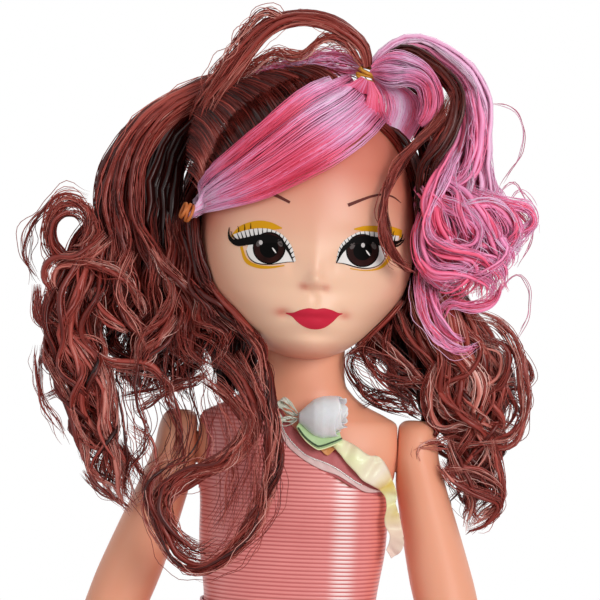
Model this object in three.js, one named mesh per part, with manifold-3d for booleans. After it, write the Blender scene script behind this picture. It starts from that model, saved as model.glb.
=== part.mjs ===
// A dressed fashion doll, 44 cm tall to the top of its hair: a soft vinyl head with rooted hair that turns on a
// mushroom knob, soft vinyl arms and hard hollow legs that swing on a two-shell torso, and a satin gown.
// Millimetres, +Z up, the face towards -Y. Left and right are the doll's own: its left arm is at +X.
import * as THREE from "three";
import { mergeVertices } from "three/addons/utils/BufferGeometryUtils.js";
import Module from "manifold-3d";

const wasm = await Module();
wasm.setup();

// Gaps between pieces, and how far a cutter runs past what it cuts
const fit = { gap: 0.4, running: 0.5, press: 0.3, overrun: 60, smooth: 0.08 };

// Shoe soles stand on the ground, and the heights above are stacked from there
const shoe = { sole: 3, wall: 1.6, topline: 13, toplineFall: 0.18 };
const leg = {
  hipToHeel: 191, hipRadius: 20, hipWidth: 26, hipShoulder: 5, inset: 0.4,
  thigh: 16.5, kneeOffset: 17, ankleOffset: 15.5, hipOffset: 20, wall: 2.2,
  footLength: 43, footWidth: 8.2, footHeight: 9, heelBack: 13,
};
const hipHeight = shoe.sole + leg.hipToHeel;

// The torso, as heights above the hip axis and half sizes
const torso = {
  crotchDrop: 10, seatRise: 6, hipTop: 17, waist: 34, chestRise: 56, bust: 74, shoulder: 89, shoulderTop: 99,
  slopeDrop: 7.5, slopeInDrop: 4, neckBase: 110, neckFoot: 5, neckLength: 19.7, neckWall: 5,
  hipHalf: 33.5, waistHalf: 29.3, ribHalf: 31.8, bustHalf: 32.6, shoulderHalf: 35, slopeHalf: 30.5,
  hipDeep: 23, waistDeep: 18.5, ribDeep: 19.5, bustDeep: 22, shoulderDeep: 19.5, slopeDeep: 15,
  neckRadius: 15, wall: 2, sideWall: 4, tongue: 6,
};
const neckTop = torso.neckBase + torso.neckLength;
const neckTopHeight = hipHeight + neckTop;
const shoulderHeight = hipHeight + torso.shoulder;

// The head: an egg with full cheeks and a small chin, measured from its centre
const head = {
  halfWidth: 37.5, crown: 55, chin: 41, front: 38, back: 40, wall: 3, floor: 13, turn: 5,
  socketDepth: 9, noseWidth: 4.2, noseHeight: 4.6, noseReach: 3.4, noseDrop: 12.8,
  napeDrop: 26, sideburn: 8,
};
const headHeight = neckTopHeight + fit.press - head.socketDepth + head.chin;
// The edge of the rooted hair seen from the front, from the doll's right ear over the forehead to its left
const hairlineShares = [
  [-1.03, 0], [-0.97, 0.4], [-0.57, 0.73], [-0.11, 1], [0.34, 1.2], [0.62, 1.18], [0.78, 1.06], [0.93, 0.73], [1.01, 0.12], [1.03, 0],
];
const headWidthShares = [[1, 1], [0.5, 1.02], [0, 1], [-0.43, 1], [-0.6, 0.94], [-0.72, 0.9], [-1, 0.89]];
const headFrontShares = [
  [1, 1], [0.5, 1], [0, 0.98], [-0.4, 1.03], [-0.64, 1.18], [-0.8, 1.42], [-0.9, 1.7], [-0.97, 2.3], [-1, 2.3],
];
const headBackShares = [[1, 1], [0.5, 1.04], [0, 1.02], [-0.5, 0.94], [-0.75, 0.86], [-1, 0.8]];

// The mushroom knob that the head turns on, and the flanged shoulder and hip bearings
const knob = { stem: 7.7, cap: 11.5, capHeight: 6, flange: 11, flangeHeight: 3, neckHole: 8.1, headHole: 9 };
const hub = { radius: 5.6, bore: 3.2, flange: 8, flangeThickness: 3, socket: 6 };
const plug = { head: 6.5, headThickness: 1.6 };
const axle = { radius: 5.5, bore: 6, reach: 22 };

// The arms: a splayed tube with a rounded shoulder, then a palm, fingers and a thumb
const arm = {
  length: 128, splayLeft: 15, splayRight: 19, radius: 11.4, inset: 6.2, wall: 2.2,
  fingerLength: 17, fingerRadius: 2.1, fingerCurl: 1, thumbLength: 13, palmHalf: 8, fingerSpread: 3.7,
};
const armShares = [
  [-0.1, 0.36, 0.3, 0], [-0.08, 0.56, 0.8, 0], [-0.02, 0.72, 1.06, 0], [0.1, 0.8, 1.06, 0],
  [0.25, 0.94, 1.04, 0], [0.38, 1, 0.98, 0.01], [0.55, 0.88, 0.92, 0.03], [0.78, 0.62, 0.68, 0.06],
  [0.88, 0.48, 0.7, 0.07], [1, 0.36, 0.74, 0.08],
];
// Distance down the leg, half width, half depth and how far back, as shares of the leg and of the thigh
const legShares = [
  [-0.02, 0.8, 0.98, 0], [0.1, 0.82, 0.99, 0], [0.25, 0.8, 0.96, 0], [0.4, 0.72, 0.84, 0.02],
  [0.5, 0.66, 0.74, 0.04], [0.62, 0.7, 0.8, 0.1], [0.74, 0.62, 0.7, 0.12], [0.88, 0.42, 0.48, 0.1],
  [0.97, 0.42, 0.52, 0.08],
];
// Along the foot from heel to toe: half width, height
const footShares = [[0, 0.5, 0.6], [0.1, 0.74, 0.95], [0.35, 0.8, 1], [0.62, 0.96, 0.78], [0.85, 0.92, 0.55], [1, 0.5, 0.34]];

// The gown: a thin bodice on the torso, a banded and ruffled neckline, and a skirt of two panels
const gown = {
  cloth: 0.8, bandWidth: 5, bandCloth: 0.5, ruffleWidth: 7, ruffleCloth: 1.2, ruffleLift: 3,
  skirtLength: 150, hemRadius: 97, hemFolds: 12, foldDepth: 4, hipEase: 2.6, skirtCloth: 1,
  sashWidth: 4.6, sashCloth: 0.9, sashDrop: 2.2, tape: 6.4, tapeCloth: 0.7, closure: 4.2,
};
// The neckline seen from the front, as shares of the shoulders' half width and of the height from hip to neck base
const necklineShares = [
  [-0.36, 1.04], [-0.28, 0.99], [-0.21, 0.9], [-0.14, 0.85], [0.03, 0.807], [0.26, 0.766], [0.52, 0.718], [0.87, 0.686], [1.1, 0.67],
];
const tailShares = [[0.83, -0.78, 0.73, 0.1], [0.92, -0.76, 0.64, 0.11], [0.94, -0.78, 0.565, 0.1], [0.92, -0.76, 0.5, 0.05]];
const rose = { radius: 7.6, height: 13, petals: 5, petalDepth: 0.8, leafWidth: 2.6, leafCloth: 0.5, loop: 4.5 };
const brief = { cloth: 0.7, rise: 27 };

// Hair: thickness of the rooted layer, and the rubber bands
const hair = { layer: 4, gap: 0.4, sides: 8, steps: 9 };
const facets = {
  headSides: 24, headRings: 17, insideSides: 14, insideRings: 9, bodySides: 20, bodySteps: 15, limbSides: 12,
  armSteps: 11, legSteps: 10, insideSteps: 5, skirtSides: 48, skirtRows: 7,
};
const band = { section: 1.1, clear: 0.35, grip: 0.1 };

// Hair locks, as shares of the head's half width from the head's centre: across, depth, height, half width, half thickness
const bunchShares = [
  [0.36, -0.5, 1.03, 0.22, 0.19], [0.44, -0.34, 1.3, 0.28, 0.24], [0.47, -0.26, 1.48, 0.13, 0.12], [0.48, -0.22, 1.58, 0.07, 0.07],
  [0.49, -0.2, 1.69, 0.07, 0.07],
];
const fringeShares = [
  [0.53, -0.36, 1.38, 0.21, 0.08], [0.5, -0.5, 1.22, 0.28, 0.08], [0.2, -0.83, 1, 0.32, 0.08], [-0.19, -0.98, 0.78, 0.28, 0.08],
  [-0.54, -0.93, 0.59, 0.21, 0.08], [-0.81, -0.77, 0.43, 0.12, 0.07], [-1.11, -0.5, 0.22, 0.05, 0.05], [-1.2, -0.42, 0.03, 0.07, 0.07],
];
const topArcShares = [
  [0.51, -0.2, 1.69, 0.07, 0.06], [0.32, -0.24, 1.9, 0.09, 0.07], [-0.03, -0.3, 2.04, 0.12, 0.07], [-0.37, -0.3, 1.98, 0.13, 0.08],
  [-0.63, -0.26, 1.73, 0.14, 0.09], [-0.84, -0.2, 1.45, 0.15, 0.1], [-1, -0.16, 1.12, 0.14, 0.1],
];
const topRollShares = [
  [0.57, -0.28, 1.62, 0.07, 0.07], [0.81, -0.34, 1.65, 0.14, 0.12], [1.04, -0.36, 1.49, 0.19, 0.16], [1.08, -0.4, 1.24, 0.19, 0.16],
  [0.87, -0.48, 1.09, 0.17, 0.13], [0.66, -0.56, 1.12, 0.09, 0.09],
];
const ponytailShares = [
  [
    [0.54, -0.1, 1.7, 0.06, 0.06], [0.76, -0.04, 1.8, 0.12, 0.1], [1.12, 0, 1.78, 0.19, 0.16], [1.43, 0, 1.48, 0.24, 0.21],
    [1.53, 0, 1.02, 0.28, 0.24], [1.51, -0.04, 0.51, 0.3, 0.32], [1.5, -0.1, -0.02, 0.41, 0.54], [1.44, -0.12, -0.46, 0.37, 0.41],
    [1.35, -0.14, -0.81, 0.19, 0.19],
  ],
  [[1.77, -0.1, 0.35, 0.17, 0.15], [2.01, -0.12, 0.1, 0.19, 0.17], [1.95, -0.12, -0.3, 0.15, 0.14]],
];
const leftCurlShares = [
  [
    [0.81, 0.3, 1.08, 0.22, 0.15], [1.05, 0.35, 0.42, 0.32, 0.24], [1.26, 0.35, -0.3, 0.39, 0.37], [1.38, 0.35, -0.96, 0.43, 0.56],
    [1.57, 0.34, -1.58, 0.39, 0.5], [1.72, 0.28, -2.09, 0.3, 0.37], [1.81, 0.22, -2.61, 0.15, 0.17],
  ],
  [
    [1.75, 0.2, -0.53, 0.13, 0.11], [1.95, 0.2, -0.96, 0.22, 0.2], [2.02, 0.2, -1.48, 0.22, 0.2], [1.93, 0.15, -2.04, 0.21, 0.2],
    [1.84, 0.1, -2.55, 0.09, 0.09],
  ],
  [[0.61, 0.34, -0.7, 0.15, 0.09], [0.66, 0.38, -1.18, 0.19, 0.15], [0.92, 0.4, -1.6, 0.15, 0.13]],
];
const curtainShares = [
  [
    [-0.4, 0.1, 1.49, 0.39, 0.11], [-0.96, 0.14, 1.33, 0.45, 0.13], [-1.4, 0.12, 1.01, 0.45, 0.16], [-1.6, 0.08, 0.57, 0.45, 0.18],
    [-1.64, 0.04, 0.14, 0.43, 0.21], [-1.58, 0, -0.3, 0.37, 0.21],
  ],
];
const rightCurlShares = [
  [
    [-1.13, -0.1, 0.17, 0.13, 0.11], [-1.32, 0, -0.18, 0.37, 0.37], [-1.53, 0.05, -0.65, 0.5, 0.58], [-1.68, 0.1, -1.11, 0.5, 0.6],
    [-1.72, 0.12, -1.58, 0.41, 0.49], [-1.6, 0.12, -2.02, 0.22, 0.24],
  ],
  [
    [-1.96, -0.05, 0.29, 0.13, 0.09], [-2.28, -0.05, -0.05, 0.24, 0.2], [-2.36, -0.05, -0.61, 0.28, 0.21],
    [-2.22, -0.05, -1.22, 0.28, 0.24], [-1.97, -0.05, -1.82, 0.24, 0.24], [-1.58, -0.1, -2.37, 0.13, 0.12],
  ],
  [[-0.98, 0.1, -0.42, 0.17, 0.11], [-0.81, 0.12, -0.85, 0.24, 0.19], [-0.74, 0.1, -1.26, 0.22, 0.19], [-0.86, 0.02, -1.65, 0.13, 0.11]],
];
const chestCurlShares = [
  [
    [-0.86, -0.08, -0.6, 0.15, 0.13], [-0.62, -0.46, -1.01, 0.19, 0.15], [-0.4, -0.74, -1.33, 0.21, 0.13], [-0.3, -0.86, -1.75, 0.19, 0.11],
    [-0.33, -0.92, -2.28, 0.19, 0.1], [-0.59, -0.92, -2.75, 0.19, 0.1], [-0.97, -0.86, -2.83, 0.18, 0.1], [-1.18, -0.8, -2.51, 0.16, 0.1],
    [-1.11, -0.84, -2.13, 0.14, 0.09],
  ],
];
const backShares = [
  [
    [0.51, 0.85, 1.45, 0.41, 0.13], [0.82, 1.1, 0.94, 0.47, 0.15], [1.23, 1.12, 0.45, 0.47, 0.19], [1.46, 0.96, -0.16, 0.45, 0.24],
    [1.48, 0.74, -0.82, 0.37, 0.26], [1.35, 0.5, -1.49, 0.22, 0.19],
  ],
];
const tendrilShares = [
  [
    [1.15, -0.34, 1.16, 0.05, 0.04], [0.94, -0.5, 0.79, 0.05, 0.04], [0.75, -0.8, 0.41, 0.05, 0.04], [0.71, -0.9, 0.09, 0.05, 0.04],
    [0.8, -0.84, -0.16, 0.05, 0.04], [1, -0.6, -0.29, 0.04, 0.04],
  ],
];

// Solids from closed three.js geometry, and back
function solidOf(geometry) {
  geometry.deleteAttribute("normal");
  geometry.deleteAttribute("uv");
  const whole = mergeVertices(geometry);
  const triVerts = new Uint32Array(whole.index.array);
  const vertProperties = whole.getAttribute("position").array;
  const solid = new wasm.Manifold(new wasm.Mesh({ numProp: 3, vertProperties, triVerts }));
  if (solid.volume() > 0) return solid;
  for (let i = 0; i < triVerts.length; i += 3) {
    [triVerts[i + 1], triVerts[i + 2]] = [triVerts[i + 2], triVerts[i + 1]];
  }
  return new wasm.Manifold(new wasm.Mesh({ numProp: 3, vertProperties, triVerts }));
}

function geometryOf(solid) {
  const mesh = largest(solid.simplify(fit.smooth)).getMesh();
  const points = new Float32Array(mesh.numVert * 3);
  for (let i = 0; i < mesh.numVert; i++) {
    points.set(mesh.vertProperties.subarray(i * mesh.numProp, i * mesh.numProp + 3), i * 3);
  }
  const geometry = new THREE.BufferGeometry();
  geometry.setAttribute("position", new THREE.BufferAttribute(points, 3));
  geometry.setIndex(new THREE.BufferAttribute(new Uint32Array(mesh.triVerts), 1));
  geometry.computeVertexNormals();
  return geometry;
}

function joined(solids) {
  return solids.reduce((all, one) => all.add(one));
}

function largest(solid) {
  return solid.decompose().reduce((best, one) => (one.volume() > best.volume() ? one : best));
}

// Blocks between two corners, and discs along X, for cutting
function block(low, high) {
  const box = new THREE.BoxGeometry(high[0] - low[0], high[1] - low[1], high[2] - low[2]);
  box.translate((low[0] + high[0]) / 2, (low[1] + high[1]) / 2, (low[2] + high[2]) / 2);
  return solidOf(box);
}

function rod(radius, from, to, sides = 20) {
  const start = new THREE.Vector3(...from);
  const way = new THREE.Vector3(...to).sub(start);
  const shape = new THREE.CylinderGeometry(radius, radius, way.length(), sides);
  shape.translate(0, way.length() / 2, 0);
  shape.applyQuaternion(new THREE.Quaternion().setFromUnitVectors(new THREE.Vector3(0, 1, 0), way.clone().normalize()));
  shape.translate(start.x, start.y, start.z);
  return solidOf(shape);
}

// An outline seen from the front, cut from far in front to a depth
function frontCut(outline, back) {
  const slab = new THREE.ExtrudeGeometry(new THREE.Shape(outline), { depth: fit.overrun + back, bevelEnabled: false });
  slab.rotateX(Math.PI / 2);
  slab.translate(0, back, 0);
  return solidOf(slab);
}

// A turned shape about +Z from an outline of radius and height
function turned(outline, sides) {
  const shape = new THREE.LatheGeometry(outline.map(([radius, height]) => new THREE.Vector2(radius, height)), sides);
  shape.rotateX(Math.PI / 2);
  return solidOf(shape);
}

// A closed skin with flat ends: rings of points, each given by its centre, two half axes and how square it is
function loft(sides, steps, ringAt) {
  const skin = new THREE.SphereGeometry(1, sides, steps + 2);
  const spots = skin.getAttribute("position");
  const shares = skin.getAttribute("uv");
  for (let i = 0; i < spots.count; i++) {
    const ring = Math.round((1 - shares.getY(i)) * (steps + 2));
    const isEnd = ring === 0 || ring === steps + 2;
    const { centre, across, up, power = 2 } = ringAt(THREE.MathUtils.clamp((ring - 1) / steps, 0, 1));
    const angle = shares.getX(i) * 2 * Math.PI;
    const [c, s] = [Math.cos(angle), Math.sin(angle)].map((v) => (isEnd ? 0 : Math.sign(v) * Math.abs(v) ** (2 / power)));
    spots.setXYZ(i, centre.x + across.x * c + up.x * s, centre.y + across.y * c + up.y * s, centre.z + across.z * c + up.z * s);
  }
  return solidOf(skin);
}

// Rows of numbers read as smooth curves: at(t) gives a row between them
function smoothRows(rows) {
  const threes = [0, 3].map((first) => {
    const points = rows.map((row) => new THREE.Vector3(row[first] ?? 0, row[first + 1] ?? 0, row[first + 2] ?? 0));
    return new THREE.CatmullRomCurve3(points, false, "catmullrom", 0.5);
  });
  return (t) => threes.flatMap((curve) => curve.getPoint(t).toArray());
}

// A value read off a table of [place, value] pairs
function read(table, place) {
  const next = Math.max(1, table.findIndex(([at]) => at <= place));
  const [[high, a], [low, b]] = [table[next - 1], table[next]];
  const t = (place - low) / (high - low);
  return b + (a - b) * t;
}

// The head, about its own centre
function headSolid(grow, sides = facets.headSides, rings = facets.headRings) {
  const skin = new THREE.SphereGeometry(1, sides, rings);
  const spots = skin.getAttribute("position");
  const shares = skin.getAttribute("uv");
  for (let i = 0; i < spots.count; i++) {
    const s = Math.cos((1 - shares.getY(i)) * Math.PI);
    const ring = Math.sqrt(Math.max(0, 1 - s * s));
    const angle = shares.getX(i) * 2 * Math.PI;
    const deep = Math.sin(angle) < 0
      ? (head.front + grow) * read(headFrontShares, s)
      : (head.back + grow) * read(headBackShares, s);
    const height = s * ((s > 0 ? head.crown : head.chin) + grow);
    const wide = (head.halfWidth + grow) * read(headWidthShares, s);
    spots.setXYZ(i, wide * ring * Math.cos(angle), deep * ring * Math.sin(angle), height);
  }
  return solidOf(skin);
}

function ellipsoid(centre, halves) {
  const shape = new THREE.SphereGeometry(1, 10, 8);
  shape.scale(...halves);
  shape.translate(...centre);
  return solidOf(shape);
}

function makeHeadShell() {
  const socket = rod(torso.neckRadius + fit.running * 2, [0, 0, -head.chin - fit.overrun], [0, 0, -head.chin + head.socketDepth]);
  const hollow = headSolid(-head.wall, facets.insideSides, facets.insideRings)
    .subtract(block([-fit.overrun, -fit.overrun, -fit.overrun], [fit.overrun, fit.overrun, -head.chin + head.floor]));
  const throat = rod(knob.headHole, [0, 0, -head.chin - fit.overrun], [0, 0, 0]);
  const nose = ellipsoid([0, -head.front, -head.noseDrop], [head.noseWidth, head.noseReach, head.noseHeight]);
  return headSolid(0).add(nose).subtract(joined([socket, hollow, throat]));
}

// The rooted layer of hair, open at the face and at the nape
function makeScalpLayer() {
  const edge = hairlineShares.map(([x, z]) => new THREE.Vector2(x, z).multiplyScalar(head.halfWidth));
  const face = frontCut([new THREE.Vector2(edge[0].x, -fit.overrun), ...edge, new THREE.Vector2(edge.at(-1).x, -fit.overrun)], 0);
  const below = block([-fit.overrun, -fit.overrun, -fit.overrun], [fit.overrun, fit.overrun, -head.napeDrop])
    .add(block([-fit.overrun, -fit.overrun, -fit.overrun], [fit.overrun, head.wall, -head.sideburn]));
  return largest(headSolid(hair.layer).subtract(headSolid(hair.gap)).subtract(face).subtract(below));
}

// One tapered lock along its route, flat side towards the head
function lock(shares, grow = 0, mirror = 1) {
  const at = smoothRows(shares);
  const scale = head.halfWidth;
  return loft(hair.sides, hair.steps, (t) => {
    const [x, y, z, wide, thick] = at(t);
    const centre = new THREE.Vector3(x * mirror, y, z).multiplyScalar(scale);
    const [before, after] = [at(Math.max(0, t - 0.02)), at(Math.min(1, t + 0.02))];
    const along = new THREE.Vector3((after[0] - before[0]) * mirror, after[1] - before[1], after[2] - before[2]).normalize();
    const across = along.clone().cross(centre).normalize();
    const up = across.clone().cross(along).normalize();
    return { centre, across: across.multiplyScalar(wide * scale + grow), up: up.multiplyScalar(thick * scale + grow) };
  });
}

function locks(list, grow = 0, mirror = 1) {
  return joined(list.map((shares) => lock(shares, grow, mirror)));
}

// The torso's outside, crotch to neck, about the hip axis: half width, half depth, height, squareness
function torsoRows() {
  const neck = torso.neckRadius;
  return [
    [-torso.crotchDrop, torso.hipHalf / 3, torso.shoulderDeep / 1.6, 2.4],
    [0, torso.hipHalf * 0.9, torso.hipDeep * 0.96, 2.4],
    [torso.seatRise, torso.hipHalf, torso.hipDeep, 2.4],
    [torso.hipTop, torso.hipHalf * 0.99, torso.hipDeep, 2.4],
    [torso.waist, torso.waistHalf, torso.waistDeep, 2.3],
    [torso.chestRise, torso.ribHalf, torso.ribDeep, 2.3],
    [torso.bust, torso.bustHalf, torso.bustDeep, 2.3],
    [torso.shoulder, torso.shoulderHalf * 1.03, torso.shoulderDeep, 2.3],
    [torso.shoulderTop, torso.shoulderHalf, torso.shoulderDeep * 0.84, 2.3],
    [torso.neckBase - torso.slopeDrop, torso.slopeHalf, torso.slopeDeep, 2.2],
    [torso.neckBase - torso.slopeInDrop, torso.slopeHalf * 0.76, torso.slopeDeep * 0.93, 2.1],
    [torso.neckBase, neck * 1.21, neck * 0.92, 2],
    [torso.neckBase + torso.neckFoot, neck * 1.03, neck * 0.94, 2],
    [neckTop, neck, neck * 0.97, 2],
  ].map(([height, wide, deep, power]) => [wide, deep, height, power]);
}

function torsoSolid(grow, sides = facets.bodySides, steps = facets.bodySteps) {
  const at = smoothRows(torsoRows());
  return loft(sides, steps, (t) => {
    const [wide, deep, height, power] = at(t);
    return {
      centre: new THREE.Vector3(0, 0, height),
      across: new THREE.Vector3(wide + grow, 0, 0),
      up: new THREE.Vector3(0, deep + grow, 0),
      power,
    };
  });
}

// Between two heights above the hip axis, and narrower than a half width
function slice(low, high, half = fit.overrun) {
  return block([-half, -fit.overrun, low], [half, fit.overrun, high]);
}

// The arches over the legs, wide enough for them to swing
function legRoom(clear) {
  const high = leg.thigh + clear;
  return joined([-1, 1].map((side) => {
    const [inner, outer] = [side * (torso.tongue - clear + fit.gap), side * fit.overrun];
    const [low, top] = [Math.min(inner, outer), Math.max(inner, outer)];
    return rod(leg.hipRadius + clear, [inner, 0, 0], [outer, 0, 0], 24)
      .add(block([low, -fit.overrun, -fit.overrun], [top, fit.overrun, 0]))
      .add(block([low, -fit.overrun, -fit.gap], [top, -fit.gap, high]))
      .add(block([low, fit.gap, -fit.gap], [top, fit.overrun, high]));
  }));
}

function torsoShells() {
  const inside = torsoSolid(-torso.wall, facets.insideSides, facets.bodySteps)
    .intersect(slice(leg.hipRadius + torso.wall, neckTop - torso.neckWall, torso.shoulderHalf - torso.sideWall));
  const holes = joined([
    rod(hub.socket, [-fit.overrun, 0, torso.shoulder], [fit.overrun, 0, torso.shoulder]),
    rod(axle.radius, [-fit.overrun, 0, 0], [fit.overrun, 0, 0]),
    rod(knob.neckHole, [0, 0, torso.chestRise], [0, 0, neckTop + fit.overrun]),
  ]);
  const whole = torsoSolid(0)
    .intersect(slice(-fit.overrun, neckTop + fit.gap, torso.shoulderHalf))
    .subtract(inside).subtract(holes).subtract(legRoom(fit.gap));
  const [far, seam] = [fit.overrun, fit.press / 2];
  return {
    front: largest(whole.intersect(block([-far, -far, -far], [far, -seam, far * 3]))),
    rear: largest(whole.intersect(block([-far, seam, -far], [far, far, far * 3]))),
  };
}

// The knob: a flange under the neck's top wall, a stem, and a mushroom cap inside the head
function makeKnob() {
  const wallBottom = neckTop - torso.neckWall - fit.gap;
  const capBottom = neckTop + fit.press - head.socketDepth + head.floor + fit.press;
  return turned([
    [0, wallBottom - knob.flangeHeight], [knob.flange, wallBottom - knob.flangeHeight], [knob.flange, wallBottom],
    [knob.stem, wallBottom], [knob.stem, capBottom], [knob.cap, capBottom], [knob.cap * 0.9, capBottom + knob.capHeight * 0.5],
    [knob.cap * 0.55, capBottom + knob.capHeight], [0, capBottom + knob.capHeight],
  ], 20);
}

// An arm hangs from its pivot at the origin, on the side given by its sign
function makeArm(side, grow = 0) {
  const splay = THREE.MathUtils.degToRad(side > 0 ? arm.splayLeft : arm.splayRight);
  const at = smoothRows(armShares);
  const place = (down, forward, out = 0) => new THREE.Vector3(
    side * (arm.inset + Math.max(0, down) * Math.tan(splay) + out), -forward, -down,
  );
  const tube = (less, steps = facets.armSteps) => loft(facets.limbSides, steps, (t) => {
    const [down, wide, deep, forward] = at(t);
    return {
      centre: place(down * arm.length, forward * arm.length),
      across: new THREE.Vector3(wide * arm.radius + less, 0, 0),
      up: new THREE.Vector3(0, deep * arm.radius + less, 0),
    };
  });
  const wrist = arm.length;
  const fingers = [-1.5, -0.5, 0.5, 1.5].map((place4) => {
    const start = place(wrist * 0.96, arm.length * 0.08 + place4 * arm.fingerSpread);
    const long = arm.fingerLength * (1 - 0.08 * place4 * place4);
    return loft(6, 3, (t) => {
      const radius = (arm.fingerRadius + grow) * (t > 0.9 ? 0.7 : 1);
      return {
        centre: start.clone().add(new THREE.Vector3(-side * t * t * arm.fingerCurl, -t * place4 * arm.fingerCurl, -t * (long + wrist * 0.04))),
        across: new THREE.Vector3(radius, 0, 0), up: new THREE.Vector3(0, radius, 0),
      };
    });
  });
  const thumbStart = place(wrist * 0.86, arm.length * 0.07 + arm.palmHalf * 0.5);
  const thumb = loft(6, 3, (t) => ({
    centre: thumbStart.clone().add(new THREE.Vector3(0, -t * arm.thumbLength * 0.62, -t * arm.thumbLength)),
    across: new THREE.Vector3((arm.fingerRadius + grow) * (1.15 - t * 0.4), 0, 0),
    up: new THREE.Vector3(0, (arm.fingerRadius + grow) * (1.3 - t * 0.4), 0),
  }));
  const face = fit.press - grow;
  const beyond = side > 0
    ? block([face, -fit.overrun, -fit.overrun * 4], [fit.overrun * 2, fit.overrun, fit.overrun])
    : block([-fit.overrun * 2, -fit.overrun, -fit.overrun * 4], [-face, fit.overrun, fit.overrun]);
  const outside = joined([tube(grow), ...fingers, thumb]).intersect(beyond);
  if (grow > 0) return outside;
  const wall = torso.sideWall;
  const flangeEnd = wall + fit.press + hub.flangeThickness;
  const hollowEnd = -arm.length * 0.72;
  const hollow = tube(-arm.wall, facets.insideSteps)
    .intersect(block([-fit.overrun * 2, -fit.overrun, hollowEnd], [fit.overrun * 2, fit.overrun, fit.overrun]))
    .intersect(side > 0
      ? block([arm.wall, -fit.overrun, -fit.overrun * 4], [fit.overrun * 2, fit.overrun, fit.overrun])
      : block([-fit.overrun * 2, -fit.overrun, -fit.overrun * 4], [-arm.wall, fit.overrun, fit.overrun]));
  return largest(outside
    .add(rod(hub.radius, [-side * (wall + fit.press), 0, 0], [side * arm.wall, 0, 0]))
    .add(rod(hub.flange, [-side * flangeEnd, 0, 0], [-side * (wall + fit.press), 0, 0]))
    .subtract(hollow)
    .subtract(rod(hub.bore, [-side * fit.overrun, 0, 0], [side * arm.inset, 0, 0], 12)));
}

// The hard plug pressed into the arm's hollow hub, with its head against the flange
function makePlug(side) {
  const start = torso.sideWall + fit.press * 2 + hub.flangeThickness;
  return rod(plug.head, [-side * (start + plug.headThickness), 0, 0], [-side * start, 0, 0])
    .add(rod(hub.bore - fit.press, [-side * start, 0, 0], [side * arm.wall, 0, 0], 12));
}

// A foot or the shoe around it, heel to toe, flat underneath
function footSolid(side, grow, sole) {
  const at = smoothRows(footShares);
  const bottom = -leg.hipToHeel;
  const shape = loft(facets.limbSides, 8, (t) => {
    const [along, wide, tall] = at(t);
    const ends = t < 0.05 || t > 0.95 ? 0.75 : 1;
    return {
      centre: new THREE.Vector3(
        side * leg.ankleOffset, leg.heelBack - along * leg.footLength + (0.5 - along) * 2 * grow, bottom + (tall * leg.footHeight) / 2,
      ),
      across: new THREE.Vector3((wide * leg.footWidth + grow) * ends, 0, 0),
      up: new THREE.Vector3(0, 0, (tall * leg.footHeight) / 2 + grow + (sole > 0 ? sole : 0)),
      power: 2.4,
    };
  });
  return shape.intersect(block([-fit.overrun, -fit.overrun, bottom - sole], [fit.overrun, fit.overrun, 0]));
}

function legTube(side, grow, steps = facets.legSteps) {
  const at = smoothRows(legShares);
  return loft(facets.limbSides, steps, (t) => {
    const [down, wide, deep, back] = at(t);
    const knee = THREE.MathUtils.clamp(down / 0.5, 0, 1);
    const ankle = THREE.MathUtils.clamp((down - 0.5) / 0.5, 0, 1);
    const offset = leg.hipOffset + (leg.kneeOffset - leg.hipOffset) * knee + (leg.ankleOffset - leg.kneeOffset) * ankle;
    return {
      centre: new THREE.Vector3(side * offset, back * leg.thigh, -down * leg.hipToHeel),
      across: new THREE.Vector3(wide * leg.thigh + grow, 0, 0),
      up: new THREE.Vector3(0, deep * leg.thigh + grow, 0),
    };
  });
}

// A leg: a round hip that turns in the torso's arch, a hollow thigh and calf, and a flat foot
function makeLeg(side) {
  const [inner, width, radius, shoulder] = [torso.tongue + leg.inset, leg.hipWidth, leg.hipRadius, leg.hipShoulder];
  const hip = new THREE.LatheGeometry([
    [0, inner], [radius, inner], [radius, inner + width - shoulder * 2], [radius - shoulder * 0.6, inner + width - shoulder * 0.7],
    [radius - shoulder * 2, inner + width], [0, inner + width],
  ].map(([r, x]) => new THREE.Vector2(r, x)), 24);
  hip.rotateZ((-side * Math.PI) / 2);
  const hollow = legTube(side, -leg.wall, facets.insideSteps).intersect(slice(-leg.hipToHeel * 0.85, leg.hipRadius * 0.5));
  const inward = side > 0
    ? block([inner, -fit.overrun, -fit.overrun * 4], [fit.overrun, fit.overrun, fit.overrun])
    : block([-fit.overrun, -fit.overrun, -fit.overrun * 4], [-inner, fit.overrun, fit.overrun]);
  return largest(joined([solidOf(hip), legTube(side, 0), footSolid(side, 0, 0)]).intersect(inward)
    .subtract(hollow)
    .subtract(rod(axle.bore, [0, 0, 0], [side * (axle.reach + fit.gap), 0, 0])));
}

function makeShoe(side) {
  const topline = block([-fit.overrun, -fit.overrun, 0], [fit.overrun, fit.overrun * 2, fit.overrun * 2]);
  const tilt = THREE.MathUtils.radToDeg(Math.atan(shoe.toplineFall));
  const above = topline.rotate([tilt, 0, 0]).translate([0, 0, -leg.hipToHeel + shoe.topline]);
  return largest(footSolid(side, shoe.wall, shoe.sole)
    .subtract(footSolid(side, fit.press, fit.press))
    .subtract(legTube(side, fit.gap))
    .subtract(above));
}

// What lies above the neckline, which runs down from the doll's right shoulder to under its left arm
function aboveNeckline(down) {
  const at = ([x, z]) => new THREE.Vector2(x * torso.shoulderHalf - down * 0.55, z * torso.neckBase - down * 0.83);
  const far = fit.overrun * 3;
  const edge = necklineShares.map(at);
  return frontCut([
    new THREE.Vector2(-far, edge[0].y), ...edge, new THREE.Vector2(far, edge.at(-1).y), new THREE.Vector2(far, far), new THREE.Vector2(-far, far),
  ], fit.overrun);
}

// A layer of cloth over the torso, so far out and so thick
function clothLayer(out, cloth) {
  return torsoSolid(out + cloth).subtract(torsoSolid(out)).intersect(slice(-fit.overrun, neckTop - fit.gap));
}

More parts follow.
